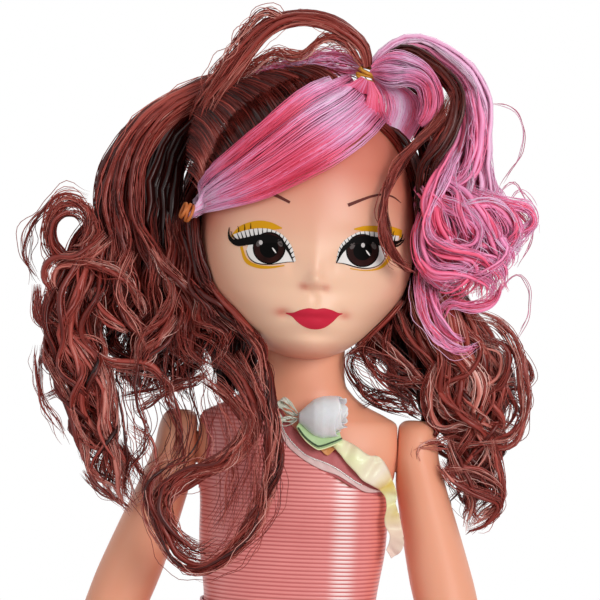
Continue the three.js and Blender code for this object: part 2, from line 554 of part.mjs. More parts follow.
function makeBodice() {
  const sides = slice(torso.waist - fit.gap, neckTop, torso.shoulderHalf - fit.press);
  const closure = block([-gown.closure, 0, 0], [gown.closure, fit.overrun, neckTop]);
  const armholes = rod(hub.flange, [-fit.overrun, 0, torso.shoulder], [fit.overrun, 0, torso.shoulder]);
  return largest(clothLayer(fit.press, gown.cloth).intersect(sides).subtract(joined([aboveNeckline(0), closure, armholes])));
}

function makeTape(half, out, from) {
  const strip = block([-half, 0, from], [half, fit.overrun, neckTop]);
  return largest(clothLayer(out, gown.tapeCloth).intersect(strip).subtract(aboveNeckline(gown.bandWidth)));
}

const bandOut = fit.press * 2 + gown.cloth;
function makeNecklineBand() {
  const strip = aboveNeckline(gown.bandWidth).subtract(aboveNeckline(0));
  const sides = slice(torso.waist, neckTop, torso.shoulderHalf - fit.press);
  return largest(clothLayer(bandOut, gown.bandCloth).intersect(strip).intersect(sides));
}

// A wavy strip along the neckline, from the rose to under the arm
function makeRuffle(bloom) {
  const out = bandOut + gown.bandCloth + fit.press;
  const strip = aboveNeckline(gown.bandWidth * 0.3).subtract(aboveNeckline(-gown.ruffleWidth));
  const front = block([rose.radius * 2.1, -fit.overrun, torso.chestRise * 0.8], [torso.shoulderHalf - fit.press, -torso.slopeDeep / 2, neckTop]);
  const at = smoothRows(tailShares);
  const tail = loft(8, 10, (t) => {
    const [x, y, z, wide] = at(t);
    return {
      centre: new THREE.Vector3(x * torso.shoulderHalf, y * torso.shoulderDeep, z * torso.neckBase),
      across: new THREE.Vector3(wide * torso.shoulderHalf, 0, 0), up: new THREE.Vector3(0, gown.ruffleCloth / 2, 0), power: 3,
    };
  });
  return largest(torsoSolid(out + gown.ruffleCloth).subtract(torsoSolid(out)).intersect(strip).add(tail).intersect(front)
    .subtract(torsoSolid(out)).subtract(bloom));
}

// Where the rose sits: on the neckline, just left of the middle
const roseSeat = new THREE.Vector3(
  rose.radius, -torso.shoulderDeep * 0.84 + fit.running, torso.neckBase * 0.81 + rose.height * 0.9,
);
function makeRose(grow) {
  const bloom = new THREE.SphereGeometry(1, 20, 8);
  const spots = bloom.getAttribute("position");
  for (let i = 0; i < spots.count; i++) {
    const [x, y, z] = [spots.getX(i), spots.getY(i), spots.getZ(i)];
    const petal = 1 + (rose.petalDepth / rose.radius) * Math.cos(rose.petals * Math.atan2(z, x) + y * 2);
    const cup = y > 0 ? 1 : 1 + y * 0.35;
    const wide = (rose.radius + grow) * petal * cup;
    spots.setXYZ(i, x * wide, y * (rose.height / 2 + grow), z * (wide - rose.radius * 0.38 * petal * cup));
  }
  bloom.rotateX(Math.PI / 2);
  bloom.rotateY(THREE.MathUtils.degToRad(24));
  bloom.translate(roseSeat.x, roseSeat.y - rose.radius * 0.62, roseSeat.z);
  return solidOf(bloom).subtract(torsoSolid(fit.press));
}

// A folded green ribbon under the rose, and a small organza loop beside it
function ribbon(places, width, cloth) {
  const at = smoothRows(places);
  const spot = (t) => new THREE.Vector3(...at(THREE.MathUtils.clamp(t, 0, 1)).slice(0, 3));
  return loft(8, 14, (t) => {
    const along = spot(t + 0.03).sub(spot(t - 0.03)).normalize();
    const across = new THREE.Vector3(0, width / 2, 0);
    return {
      centre: roseSeat.clone().add(spot(t).multiplyScalar(rose.radius)),
      across,
      up: across.clone().cross(along).normalize().multiplyScalar(cloth / 2),
      power: 3,
    };
  });
}

function makeLeaf(bloom) {
  const shares = [[-0.9, -0.5, -0.4], [-0.5, -0.55, -1], [0.1, -0.6, -1.25], [0.6, -0.58, -1.15], [0.95, -0.5, -0.9]];
  return largest(ribbon(shares, rose.leafWidth, rose.leafCloth).subtract(bloom));
}

function makeLoop(bloom) {
  const shares = [[-1, -0.3, 0.1], [-1.5, -0.35, 0.6], [-1.95, -0.35, 0.3], [-1.7, -0.35, -0.3], [-1.1, -0.3, -0.2]];
  return largest(ribbon(shares, rose.loop, rose.leafCloth).subtract(bloom).subtract(torsoSolid(bandOut + gown.bandCloth + fit.press)));
}

// Down the skirt: half width, half depth, share of its length, squareness
function skirtRows() {
  const [ease, hem, length] = [gown.hipEase, gown.hemRadius, gown.skirtLength];
  return [
    [torso.waistHalf + fit.running * 2, torso.waistDeep + fit.running * 2, 0, 2.4],
    [torso.hipHalf + ease * 1.3, torso.hipDeep + ease * 1.3, (torso.waist - torso.hipTop) / length, 2.4],
    [torso.hipHalf + ease * 3, torso.hipDeep + ease * 5, torso.waist / length, 2.2],
    [hem * 0.54, hem * 0.5, 0.5, 2],
    [hem * 0.74, hem * 0.73, 0.75, 2],
    [hem, hem, 1, 2],
  ];
}

// The skirt flares from the waist's oval to a round hem, in folds that deepen on the way down
function skirtSolid(out, cloth) {
  const at = smoothRows(skirtRows());
  const rows = facets.skirtRows;
  const outline = [];
  for (let i = 0; i <= rows; i++) outline.push([i / rows, 1]);
  for (let i = rows; i >= 0; i--) outline.push([i / rows, 0]);
  outline.push(outline[0]);
  const shape = new THREE.LatheGeometry(outline.map(([x, y]) => new THREE.Vector2(x, y)), facets.skirtSides);
  const spots = shape.getAttribute("position");
  const shares = shape.getAttribute("uv");
  for (let i = 0; i < spots.count; i++) {
    const [row, outer] = outline[Math.round(shares.getY(i) * (outline.length - 1))];
    const [baseWide, baseDeep, down, square] = at(row);
    const angle = shares.getX(i) * 2 * Math.PI;
    const fold = gown.foldDepth * down * (1 + Math.cos(gown.hemFolds * angle));
    const layer = out + outer * cloth + fold;
    const [c, s] = [Math.cos(angle), Math.sin(angle)].map((v) => Math.sign(v) * Math.abs(v) ** (2 / square));
    spots.setXYZ(i, (baseWide + layer) * c, (baseDeep + layer) * s, torso.waist - fit.gap * 2 - down * gown.skirtLength);
  }
  return solidOf(shape);
}

function makeSkirtPanel(side) {
  const [low, high] = side > 0 ? [fit.press / 2, fit.overrun * 2] : [-fit.overrun * 2, -fit.press / 2];
  return skirtSolid(fit.press, gown.skirtCloth)
    .intersect(block([low, -fit.overrun * 2, -fit.overrun * 4], [high, fit.overrun * 2, fit.overrun * 2]));
}

function makeSash() {
  const out = fit.press * 2 + Math.max(gown.cloth, gown.skirtCloth) + fit.gap;
  const low = torso.waist - gown.sashDrop;
  return clothLayer(out, gown.sashCloth).intersect(slice(low, low + gown.sashWidth))
    .subtract(skirtSolid(0, gown.skirtCloth * 2));
}

function makeBriefs() {
  return largest(clothLayer(fit.press, brief.cloth)
    .intersect(slice(-fit.overrun, brief.rise)).subtract(legRoom(fit.gap * 2)));
}

// Hair is cut back from everything that it lies on, and each bunch from the ones before it
function makeHair(rests) {
  const bunches = [
    ["hair_top_bunch", [bunchShares], 1, "pink"],
    ["hair_fringe", [fringeShares], 1, "pink"],
    ["hair_top_arc", [topArcShares], 1, "brown"],
    ["hair_top_roll", [topRollShares], 1, "pink"],
    ["hair_left_ponytail", ponytailShares, 1, "pink"],
    ["hair_face_tendril", tendrilShares, 1, "brown"],
    ["hair_left_curls", leftCurlShares, 1, "brown"],
    ["hair_right_curtain", curtainShares, 1, "brown"],
    ["hair_chest_curl", chestCurlShares, 1, "brown"],
    ["hair_right_curls", rightCurlShares, 1, "brown"],
    ["hair_back_left", backShares, 1, "brown"],
    ["hair_back_right", backShares, -1, "brown"],
  ];
  let taken = rests;
  return bunches.map(([name, list, mirror, colour]) => {
    const solid = largest(locks(list, 0, mirror).subtract(taken));
    taken = taken.add(locks(list, hair.gap, mirror));
    return { name, solid, colour };
  });
}

// A rubber band around a lock: its hole clears the hair
function makeBand(row, along, grow = 0) {
  const [x, y, z, wide] = row;
  const hole = wide * head.halfWidth + band.clear;
  const ring = new THREE.TorusGeometry(hole + band.section, band.section + grow, 6, 14);
  ring.scale(1, 1, 1.4);
  ring.applyQuaternion(new THREE.Quaternion().setFromUnitVectors(new THREE.Vector3(0, 0, 1), along.normalize()));
  ring.translate(x * head.halfWidth, y * head.halfWidth, z * head.halfWidth);
  return solidOf(ring);
}

// Materials, by what the piece is made of
const paint = (color, roughness, metalness = 0) => new THREE.MeshStandardMaterial({ color, roughness, metalness });
const materials = {
  headVinyl: paint(0xf0c4a8, 0.45),
  skin: paint(0xeda078, 0.42),
  hardPlastic: paint(0xe9e2d8, 0.4),
  brown: paint(0x6e2f30, 0.38),
  pink: paint(0xe85c94, 0.35),
  rubber: paint(0xd58a1c, 0.45),
  satin: paint(0xd96a70, 0.35),
  organza: paint(0xf0d8cc, 0.5),
  ruffle: paint(0xf3ecb6, 0.4),
  rose: paint(0xf2f2f0, 0.45),
  leaf: paint(0x9cc27a, 0.4),
  tape: paint(0xf4f1ec, 0.8),
  shoe: paint(0xe7708f, 0.3),
};

function piece(name, solid, material) {
  const mesh = new THREE.Mesh(geometryOf(solid), material);
  mesh.name = name;
  return mesh;
}

function groupAt(x, y, z, ...children) {
  const group = new THREE.Group();
  group.position.set(x, y, z);
  group.add(...children);
  return group;
}

const doll = new THREE.Group();

// Torso with what is fixed to it, built about the hip axis
const shells = torsoShells();
const roomForRose = makeRose(fit.press);
const pelvis = groupAt(0, 0, hipHeight,
  piece("torso_front_shell", shells.front, materials.skin),
  piece("torso_rear_shell", shells.rear, materials.skin),
  piece("neck_knob", makeKnob(), materials.hardPlastic),
  piece("hip_axle", rod(axle.radius - fit.press, [-axle.reach, 0, 0], [axle.reach, 0, 0]), materials.hardPlastic),
  piece("briefs", makeBriefs(), materials.tape),
  piece("dress_bodice", makeBodice(), materials.satin),
  piece("closure_loop_tape", makeTape(gown.tape / 2, fit.press, torso.waist), materials.tape),
  piece("closure_hook_tape", makeTape(gown.tape / 2 + gown.cloth, fit.press * 2 + gown.cloth, torso.waist + gown.sashWidth), materials.tape),
  piece("neckline_band", makeNecklineBand(), materials.organza),
  piece("neckline_ruffle", makeRuffle(roomForRose), materials.ruffle),
  piece("satin_rose", makeRose(0), materials.rose),
  piece("rose_leaf", makeLeaf(roomForRose), materials.leaf),
  piece("organza_loop", makeLoop(roomForRose), materials.organza),
  piece("waist_sash", makeSash(), materials.satin),
  piece("left_skirt_panel", makeSkirtPanel(1), materials.satin),
  piece("right_skirt_panel", makeSkirtPanel(-1), materials.satin),
);
doll.add(pelvis);

// Arms and legs, each about its own pivot
for (const [name, side] of [["left", 1], ["right", -1]]) {
  doll.add(groupAt(side * torso.shoulderHalf, 0, shoulderHeight,
    piece(`${name}_arm`, makeArm(side), materials.skin),
    piece(`${name}_shoulder_plug`, makePlug(side), materials.hardPlastic),
  ));
  doll.add(groupAt(0, 0, hipHeight,
    piece(`${name}_leg`, makeLeg(side), materials.skin),
    piece(`${name}_shoe`, makeShoe(side), materials.shoe),
  ));
}

// Head: the shell and its rooted layer are turned a little to the doll's left
const turnedHead = new THREE.Group();
turnedHead.rotation.z = THREE.MathUtils.degToRad(head.turn);
turnedHead.add(piece("head_shell", makeHeadShell(), materials.headVinyl));
turnedHead.add(piece("hair_scalp_layer", makeScalpLayer(), materials.brown));

const drop = headHeight - hipHeight;
const rests = joined([
  headSolid(hair.layer + hair.gap).rotate([0, 0, head.turn]),
  torsoSolid(bandOut + gown.bandCloth + gown.ruffleCloth + hair.gap * 2).translate([0, 0, -drop]),
  ...[-1, 1].flatMap((side) => [makeArm(side, hair.gap * 2), makePlug(side)]
    .map((limb) => limb.translate([side * torso.shoulderHalf, 0, shoulderHeight - headHeight]))),
]);
const [topTieShares, templeTieShares] = [[0.1, 0, 1], [0.5, 0, 1]].map((way) => new THREE.Vector3(...way));
const ties = [
  ["elastic_top", bunchShares.at(-2), topTieShares],
  ["elastic_temple", fringeShares.at(-2), templeTieShares],
];
const bunches = makeHair(joined([rests, ...ties.map(([, row, along]) => makeBand(row, along, band.grip))]));
doll.add(groupAt(0, 0, headHeight, turnedHead,
  ...bunches.map(({ name, solid, colour }) => piece(name, solid, materials[colour])),
  ...ties.map(([name, row, along]) => piece(name, makeBand(row, along), materials.rubber)),
));

export default doll;
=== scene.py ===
# A dressed fashion doll with rooted, curled hair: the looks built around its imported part.
# Metres, +Z up, the face towards -Y. Left and right are the doll's own: its left arm is at +X.
import math

import bmesh
import bpy
import numpy as np
from mathutils import Matrix, Vector
from mathutils.bvhtree import BVHTree


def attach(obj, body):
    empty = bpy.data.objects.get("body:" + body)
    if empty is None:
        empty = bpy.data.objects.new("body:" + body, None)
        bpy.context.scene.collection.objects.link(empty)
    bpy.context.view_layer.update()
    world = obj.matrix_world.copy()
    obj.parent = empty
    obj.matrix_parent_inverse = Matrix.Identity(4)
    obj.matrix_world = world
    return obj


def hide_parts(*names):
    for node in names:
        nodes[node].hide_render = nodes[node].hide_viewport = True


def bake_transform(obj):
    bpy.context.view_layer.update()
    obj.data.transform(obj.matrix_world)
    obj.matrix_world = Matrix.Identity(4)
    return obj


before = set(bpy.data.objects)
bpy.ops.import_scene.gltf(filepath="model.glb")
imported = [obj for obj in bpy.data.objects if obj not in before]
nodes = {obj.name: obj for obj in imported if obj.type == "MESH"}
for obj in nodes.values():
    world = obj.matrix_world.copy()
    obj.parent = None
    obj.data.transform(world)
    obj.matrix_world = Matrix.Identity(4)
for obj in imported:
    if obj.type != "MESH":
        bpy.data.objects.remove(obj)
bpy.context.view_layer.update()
scene = bpy.context.scene
MM = 0.001

# The camera stands level with the doll's chin, rolled a little, as the photographer held it.
stand_off = 0.8
frame_width = 0.210
picture_side = 600
camera_roll = math.radians(2.8)
camera_data = bpy.data.cameras.new("camera")
camera_data.sensor_width = 36
camera_data.lens = 36 * stand_off / frame_width
camera = bpy.data.objects.new("camera", camera_data)
camera.location = (-1.5 * MM, -stand_off, 0.336)
camera.rotation_euler = (math.pi / 2, -camera_roll, 0)
scene.collection.objects.link(camera)
scene.camera = camera


def sight(px, py, depth):
    """X and Z of what shows at a pixel of the photograph, so many millimetres behind the doll's axis."""
    reach = (stand_off + depth * MM) * frame_width / stand_off / picture_side
    across, up = (px - picture_side / 2) * reach, (picture_side / 2 - py) * reach
    cosine, sine = math.cos(camera_roll), math.sin(camera_roll)
    return camera.location.x + across * cosine - up * sine, camera.location.z + across * sine + up * cosine


def seen(px, py, depth):
    """The point that shows at a pixel of the photograph, at that depth."""
    x, z = sight(px, py, depth)
    return Vector((x, depth * MM, z))


# A pale floor and plain soft studio light: one large lamp in front on the right, one on the left, one behind,
# and a faint even light from all round.
floor_form = bmesh.new()
bmesh.ops.create_circle(floor_form, cap_ends=True, segments=96, radius=0.62)
floor_mesh = bpy.data.meshes.new("floor")
floor_form.to_mesh(floor_mesh)
floor_form.free()
floor = bpy.data.objects.new("floor", floor_mesh)
scene.collection.objects.link(floor)
floor_paint = bpy.data.materials.new("pale floor")
floor_paint.use_nodes = True
floor_paint.node_tree.nodes["Principled BSDF"].inputs["Base Color"].default_value = (0.86, 0.86, 0.86, 1)
floor_paint.node_tree.nodes["Principled BSDF"].inputs["Roughness"].default_value = 0.8
floor_mesh.materials.append(floor_paint)

for lamp_name, place, watts, size in [
    ("key lamp", (0.8, -1.25, 0.8), 12.5, 0.7),
    ("fill lamp", (-0.95, -0.9, 0.6), 1.3, 1.0),
    ("back lamp", (0.2, 1.0, 1.1), 4, 0.8),
]:
    lamp_data = bpy.data.lights.new(lamp_name, "AREA")
    lamp_data.energy = watts
    lamp_data.size = size
    lamp = bpy.data.objects.new(lamp_name, lamp_data)
    lamp.location = place
    lamp.rotation_euler = (Vector((0, 0, 0.33)) - Vector(place)).to_track_quat("-Z", "Y").to_euler()
    scene.collection.objects.link(lamp)

world = bpy.data.worlds.new("studio")
world.use_nodes = True
scene.world = world
sky = world.node_tree
sky.nodes.clear()


def add(tree, kind, values=(), **settings):
    """A new shader node with its settings, and values for its sockets by name or number."""
    made = tree.nodes.new("ShaderNode" + kind)
    for key, value in settings.items():
        setattr(made, key, value)
    for socket, value in dict(values).items():
        made.inputs[socket].default_value = value
    return made


sky_out, sky_mix = add(sky, "OutputWorld"), add(sky, "MixShader")
sky_light = add(sky, "Background", {"Color": (1, 0.985, 0.97, 1), "Strength": 0.44})
sky_seen = add(sky, "Background", {"Color": (1, 1, 1, 1)})
sky_path = add(sky, "LightPath")
shown = sky_path.outputs["Is Camera Ray"]
for ray in ("Is Glossy Ray", "Is Transmission Ray"):
    either = add(sky, "Math", operation="MAXIMUM")
    sky.links.new(shown, either.inputs[0])
    sky.links.new(sky_path.outputs[ray], either.inputs[1])
    shown = either.outputs[0]
sky.links.new(shown, sky_mix.inputs["Fac"])
sky.links.new(sky_light.outputs[0], sky_mix.inputs[1])
sky.links.new(sky_seen.outputs[0], sky_mix.inputs[2])
sky.links.new(sky_mix.outputs[0], sky_out.inputs["Surface"])
scene.view_settings.view_transform = "Standard"


# The torso is two smooth shells of hard vinyl, glued along the sides. A short neck runs up into the head.
def colour(code):
    """A colour written as six hex digits, as the shader wants it."""
    parts = [int(code[i : i + 2], 16) / 255 for i in (0, 2, 4)]
    return tuple(p / 12.92 if p <= 0.04045 else ((p + 0.055) / 1.055) ** 2.4 for p in parts) + (1,)


def make_mottle():
    """Slow cloudy change of colour with a fine grain over it, as in moulded vinyl and dyed cloth."""
    group = bpy.data.node_groups.new("Mottle and grain", "ShaderNodeTree")
    for socket, kind, value in [
        ("Colour", "NodeSocketColor", (1, 1, 1, 1)),
        ("Shade", "NodeSocketColor", (0, 0, 0, 1)),
        ("Clouds", "NodeSocketFloat", 40),
        ("Grain", "NodeSocketFloat", 900),
        ("Amount", "NodeSocketFloat", 0.3),
    ]:
        group.interface.new_socket(socket, in_out="INPUT", socket_type=kind).default_value = value
    for socket, kind in [("Colour", "NodeSocketColor"), ("Height", "NodeSocketFloat"),
                         ("Roughness", "NodeSocketFloat")]:
        group.interface.new_socket(socket, in_out="OUTPUT", socket_type=kind)
    given, made = group.nodes.new("NodeGroupInput"), group.nodes.new("NodeGroupOutput")
    place = add(group, "TexCoord")
    clouds, grain = add(group, "TexNoise", {"Detail": 3}), add(group, "TexNoise", {"Detail": 2})
    spread = add(group, "MapRange", {"From Min": 0.35, "From Max": 0.75})
    share = add(group, "Math", operation="MULTIPLY")
    mix = add(group, "Mix", data_type="RGBA")
    rough = add(group, "MapRange", {"To Min": 0.36, "To Max": 0.5})
    link = group.links.new
    for noise, scale in [(clouds, "Clouds"), (grain, "Grain")]:
        link(place.outputs["Object"], noise.inputs["Vector"])
        link(given.outputs[scale], noise.inputs["Scale"])
    link(clouds.outputs["Fac"], spread.inputs["Value"])
    link(spread.outputs["Result"], share.inputs[0])
    link(given.outputs["Amount"], share.inputs[1])
    link(share.outputs[0], mix.inputs["Factor"])
    link(given.outputs["Colour"], mix.inputs[6])
    link(given.outputs["Shade"], mix.inputs[7])
    link(mix.outputs[2], made.inputs["Colour"])
    link(grain.outputs["Fac"], made.inputs["Height"])
    link(clouds.outputs["Fac"], rough.inputs["Value"])
    link(rough.outputs["Result"], made.inputs["Roughness"])
    return group


mottle = make_mottle()


def new_finish(name, base, shade, roughness=0.45, amount=0.3, clouds=40, grain=900, bump=0.05, **shader):
    """A material with the mottle group, in a node called mottle, and a bump called relief."""
    material = bpy.data.materials.new(name)
    material.use_nodes = True
    tree = material.node_tree
    surface = tree.nodes["Principled BSDF"]
    surface.inputs["Roughness"].default_value = roughness
    for socket, value in shader.items():
        surface.inputs[socket.replace("_", " ")].default_value = value
    look = {"Colour": colour(base), "Shade": colour(shade), "Clouds": clouds, "Grain": grain,
            "Amount": amount}
    group = add(tree, "Group", look, node_tree=mottle, name="mottle")
    relief = add(tree, "Bump", {"Strength": bump, "Distance": 0.3 * MM}, name="relief")
    tree.links.new(group.outputs["Colour"], surface.inputs["Base Color"])
    tree.links.new(group.outputs["Height"], relief.inputs["Height"])
    tree.links.new(relief.outputs["Normal"], surface.inputs["Normal"])
    return material


skin_vinyl = new_finish(
    "body vinyl", "F0A888", "E58F6C", roughness=0.42, amount=0.5, clouds=18, grain=1600, bump=0.04,
    Subsurface_Weight=0.12, Subsurface_Scale=0.004,
)
hard_plastic = new_finish("bearing plastic", "EAE3DA", "D8CFC2", roughness=0.4, amount=0.4, grain=2500)


def as_piece(name, mesh, *materials):
    """A smooth object from a mesh, at the origin, with these materials alone."""
    mesh.materials.clear()
    for material in materials:
        mesh.materials.append(material)
    mesh.shade_smooth()
    piece = bpy.data.objects.new(name, mesh)
    scene.collection.objects.link(piece)
    return piece


def show(name, form, *materials):
    """A finished object from a bmesh form."""
    mesh = bpy.data.meshes.new(name)
    form.to_mesh(mesh)
    form.free()
    return as_piece(name, mesh, *materials)


def woven(across, along, place, weld=2e-6, wanted=None):
    """A grid of so many cells laid out by place(u, v), meeting edges welded, with u and v as its UV map."""
    form = bmesh.new()
    form.loops.layers.uv.new("UVMap")
    bmesh.ops.create_grid(form, x_segments=across, y_segments=along, size=0.5, calc_uvs=True)
    if wanted:
        away = [f for f in form.faces if not wanted(f.calc_center_median().x + 0.5,
                                                    f.calc_center_median().y + 0.5)]
        bmesh.ops.delete(form, geom=away, context="FACES")
    for vert in form.verts:
        vert.co = place(vert.co.x + 0.5, vert.co.y + 0.5)
    bmesh.ops.remove_doubles(form, verts=form.verts, dist=weld)
    bmesh.ops.recalc_face_normals(form, faces=form.faces)
    return form


def finish_modifiers(piece):
    """Applies every modifier that the piece has."""
    graph = bpy.context.evaluated_depsgraph_get()
    graph.update()
    done = bpy.data.meshes.new_from_object(piece.evaluated_get(graph))
    piece.modifiers.clear()
    piece.data = done
    return piece


def thicken(piece, thickness, offset=1):
    """Gives a sheet its thickness, outward unless the offset is 0."""
    solid = piece.modifiers.new("thickness", "SOLIDIFY")
    solid.thickness = thickness
    solid.offset = offset
    return finish_modifiers(piece)


def catmull(rows, t):
    """Rows of numbers read as one smooth curve at shares t of its rows."""
    rows = np.asarray(rows, float)
    last = len(rows) - 1
    t = np.clip(np.asarray(t, float), 0, 1) * last
    i = np.clip(np.floor(t).astype(int), 0, last - 1)
    f = (t - i)[..., None]
    before = np.where((i > 0)[..., None], rows[np.maximum(i - 1, 0)], 2 * rows[0] - rows[1])
    after = np.where((i < last - 1)[..., None], rows[np.minimum(i + 2, last)],
                     2 * rows[last] - rows[last - 1])
    here, there = rows[i], rows[i + 1]
    a, b = (there - before) / 2, (after - here) / 2
    return (2 * here - 2 * there + a + b) * f**3 + (-3 * here + 3 * there - 2 * a - b) * f**2 + a * f + here


def across_rows(low, high, u, v):
    """A place between two lines of rows: u along them, v from the low one to the high one."""
    return catmull(low, u) * (1 - v) + catmull(high, u) * v


# Down to up: half width, half depth, height above the hips, squareness, all in millimetres
torso_rows = [
    (11.2, 12.2, -10, 2.4), (30.2, 22.1, 0, 2.4), (33.5, 23, 6, 2.4), (33.2, 23, 17, 2.4),
    (29.3, 18.5, 34, 2.3),
    (31.8, 19.5, 56, 2.3), (32.6, 22, 74, 2.3), (36.1, 19.5, 89, 2.3), (35, 16.4, 99, 2.3),
    (30.5, 15, 102.5, 2.2),
    (23.2, 14, 106, 2.1), (18.2, 13.8, 110, 2), (15.5, 14.1, 115, 2), (15, 14.6, 129.7, 2),
]
hip_height = 194


def squared(turn, square):
    """A point of a circle at a share of a turn, pressed towards its corners."""
    circle = math.cos(turn * 2 * math.pi), math.sin(turn * 2 * math.pi)
    return [math.copysign(abs(v) ** (2 / square), v) for v in circle]


def on_torso(turn, rise):
    """A point of the torso's surface at a share of a turn and a share of its rows, flat beside the arms."""
    wide, deep, height, square = catmull(torso_rows, rise)
    c, s = squared(turn, square)
    return Vector((max(-34.4, min(34.65, c * wide)), s * deep, height + hip_height)) * MM


along_x = Matrix.Rotation(math.pi / 2, 4, "Y")


def legs_room(clear):
    """What a leg sweeps at the hip: a disc along X and the blocks in front of and behind it."""
    form = bmesh.new()
    for side in (-1, 1):
        inner, outer = side * (6.4 - clear), side * 60
        middle, half = (inner + outer) / 2, abs(outer - inner) / 2
        turned = Matrix.Translation(Vector((middle, 0, hip_height)) * MM) @ along_x
        bmesh.ops.create_cone(form, cap_ends=True, segments=64, radius1=(20 + clear) * MM,
                              radius2=(20 + clear) * MM,
                              depth=2 * half * MM, matrix=turned)
        high = 16.5 + clear
        for y, z, deep, tall in [(0, -30, 120, 60), (-30.4, high / 2 - 0.2, 60, high + 0.4),
                                 (30.4, high / 2 - 0.2, 60, high + 0.4)]:
            place = Matrix.Translation(Vector((middle, y, z + hip_height)) * MM)
            size = Vector((2 * half, deep, tall)) * MM
            bmesh.ops.create_cube(form, size=1, matrix=place @ Matrix.Diagonal((*size, 1)))
    return show("legs room", form)


def cut(piece, tool):
    """Takes the tool's space out of the piece."""
    taken = piece.modifiers.new("cut", "BOOLEAN")
    taken.operation = "DIFFERENCE"
    taken.solver = "EXACT"
    taken.use_self = True
    taken.object = tool
    finish_modifiers(piece)
    bpy.data.objects.remove(tool)
    return piece


def closed(form):
    """Fills the form's open ends and turns its faces outward."""
    bmesh.ops.holes_fill(form, edges=form.edges, sides=0)
    bmesh.ops.recalc_face_normals(form, faces=form.faces)
    return form


def worn(piece, body, slot, *stands_for):
    """Fixes a piece to its body and hides the nodes that it stands for; the slot is not used."""
    if stands_for:
        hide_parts(*stands_for)
    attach(piece, body)
    return piece


for shell, half in [("torso_front_shell", -1), ("torso_rear_shell", 1)]:
    form = woven(60, 60, lambda u, v: on_torso(u, v * 0.999))
    bmesh.ops.holes_fill(form, edges=form.edges, sides=0)
    bmesh.ops.bisect_plane(
        form, geom=form.verts[:] + form.edges[:] + form.faces[:], plane_co=(0, half * 0.1 * MM, 0),
        plane_no=(0, -half, 0), clear_outer=True,
    )
    skin = show(shell.replace("_shell", "_skin"), closed(form), skin_vinyl)
    cut(skin, legs_room(0.6))
    skin.data.shade_smooth()
    skin.modifiers.new("seam", "BEVEL").width = 0.25 * MM
    skin.modifiers["seam"].segments = 2
    finish_modifiers(skin)
    worn(skin, "torso", "skin", shell)

# The bearings inside are turned from hard pale plastic: the neck knob, the hip axle and two shoulder plugs.
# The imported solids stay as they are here, because they are plain turned parts.
for bearing in ("neck_knob", "hip_axle", "left_shoulder_plug", "right_shoulder_plug"):
    nodes[bearing].data.materials.clear()
    nodes[bearing].data.materials.append(hard_plastic)
    nodes[bearing].data.shade_smooth()

# The arms are soft vinyl, blown thin, straight, with a flat shoulder, a small hand and a seam under each.
arm_rows = [
    (-0.1, 0.36, 0.3, 0), (-0.08, 0.56, 0.8, 0), (-0.02, 0.72, 1.06, 0), (0.1, 0.8, 1.06, 0),
    (0.25, 0.94, 1.04, 0),
    (0.38, 1, 0.98, 0.01), (0.55, 0.88, 0.92, 0.03), (0.78, 0.62, 0.68, 0.06), (0.88, 0.48, 0.7, 0.07),
    (1, 0.36, 0.74, 0.08),
]
arm_length, arm_radius, arm_inset = 128, 11.4, 6.2
shoulder_out, shoulder_height = 35, 283
left_splay, right_splay = 15, 19


def fuse(piece, grain, rounds):
    """Melts overlapping skins into one, on a grid of so many millimetres, and smooths it so many times."""
    fused = piece.modifiers.new("fused", "REMESH")
    fused.mode = "VOXEL"
    fused.voxel_size = grain * MM
    eased = piece.modifiers.new("eased", "CORRECTIVE_SMOOTH")
    eased.iterations = rounds
    eased.use_only_smooth = True
    return finish_modifiers(piece)


def ball_chain(form, points, radii):
    """A finger or thumb: overlapping balls along a line, to be fused with the rest."""
    for (a, ra), (b, rb) in zip(zip(points, radii), zip(points[1:], radii[1:])):
        for step in range(5):
            spot = a.lerp(b, step / 5)
            radius = ra + (rb - ra) * step / 5
            bmesh.ops.create_uvsphere(form, u_segments=12, v_segments=8, radius=radius * MM,
                                      matrix=Matrix.Translation(spot * MM))


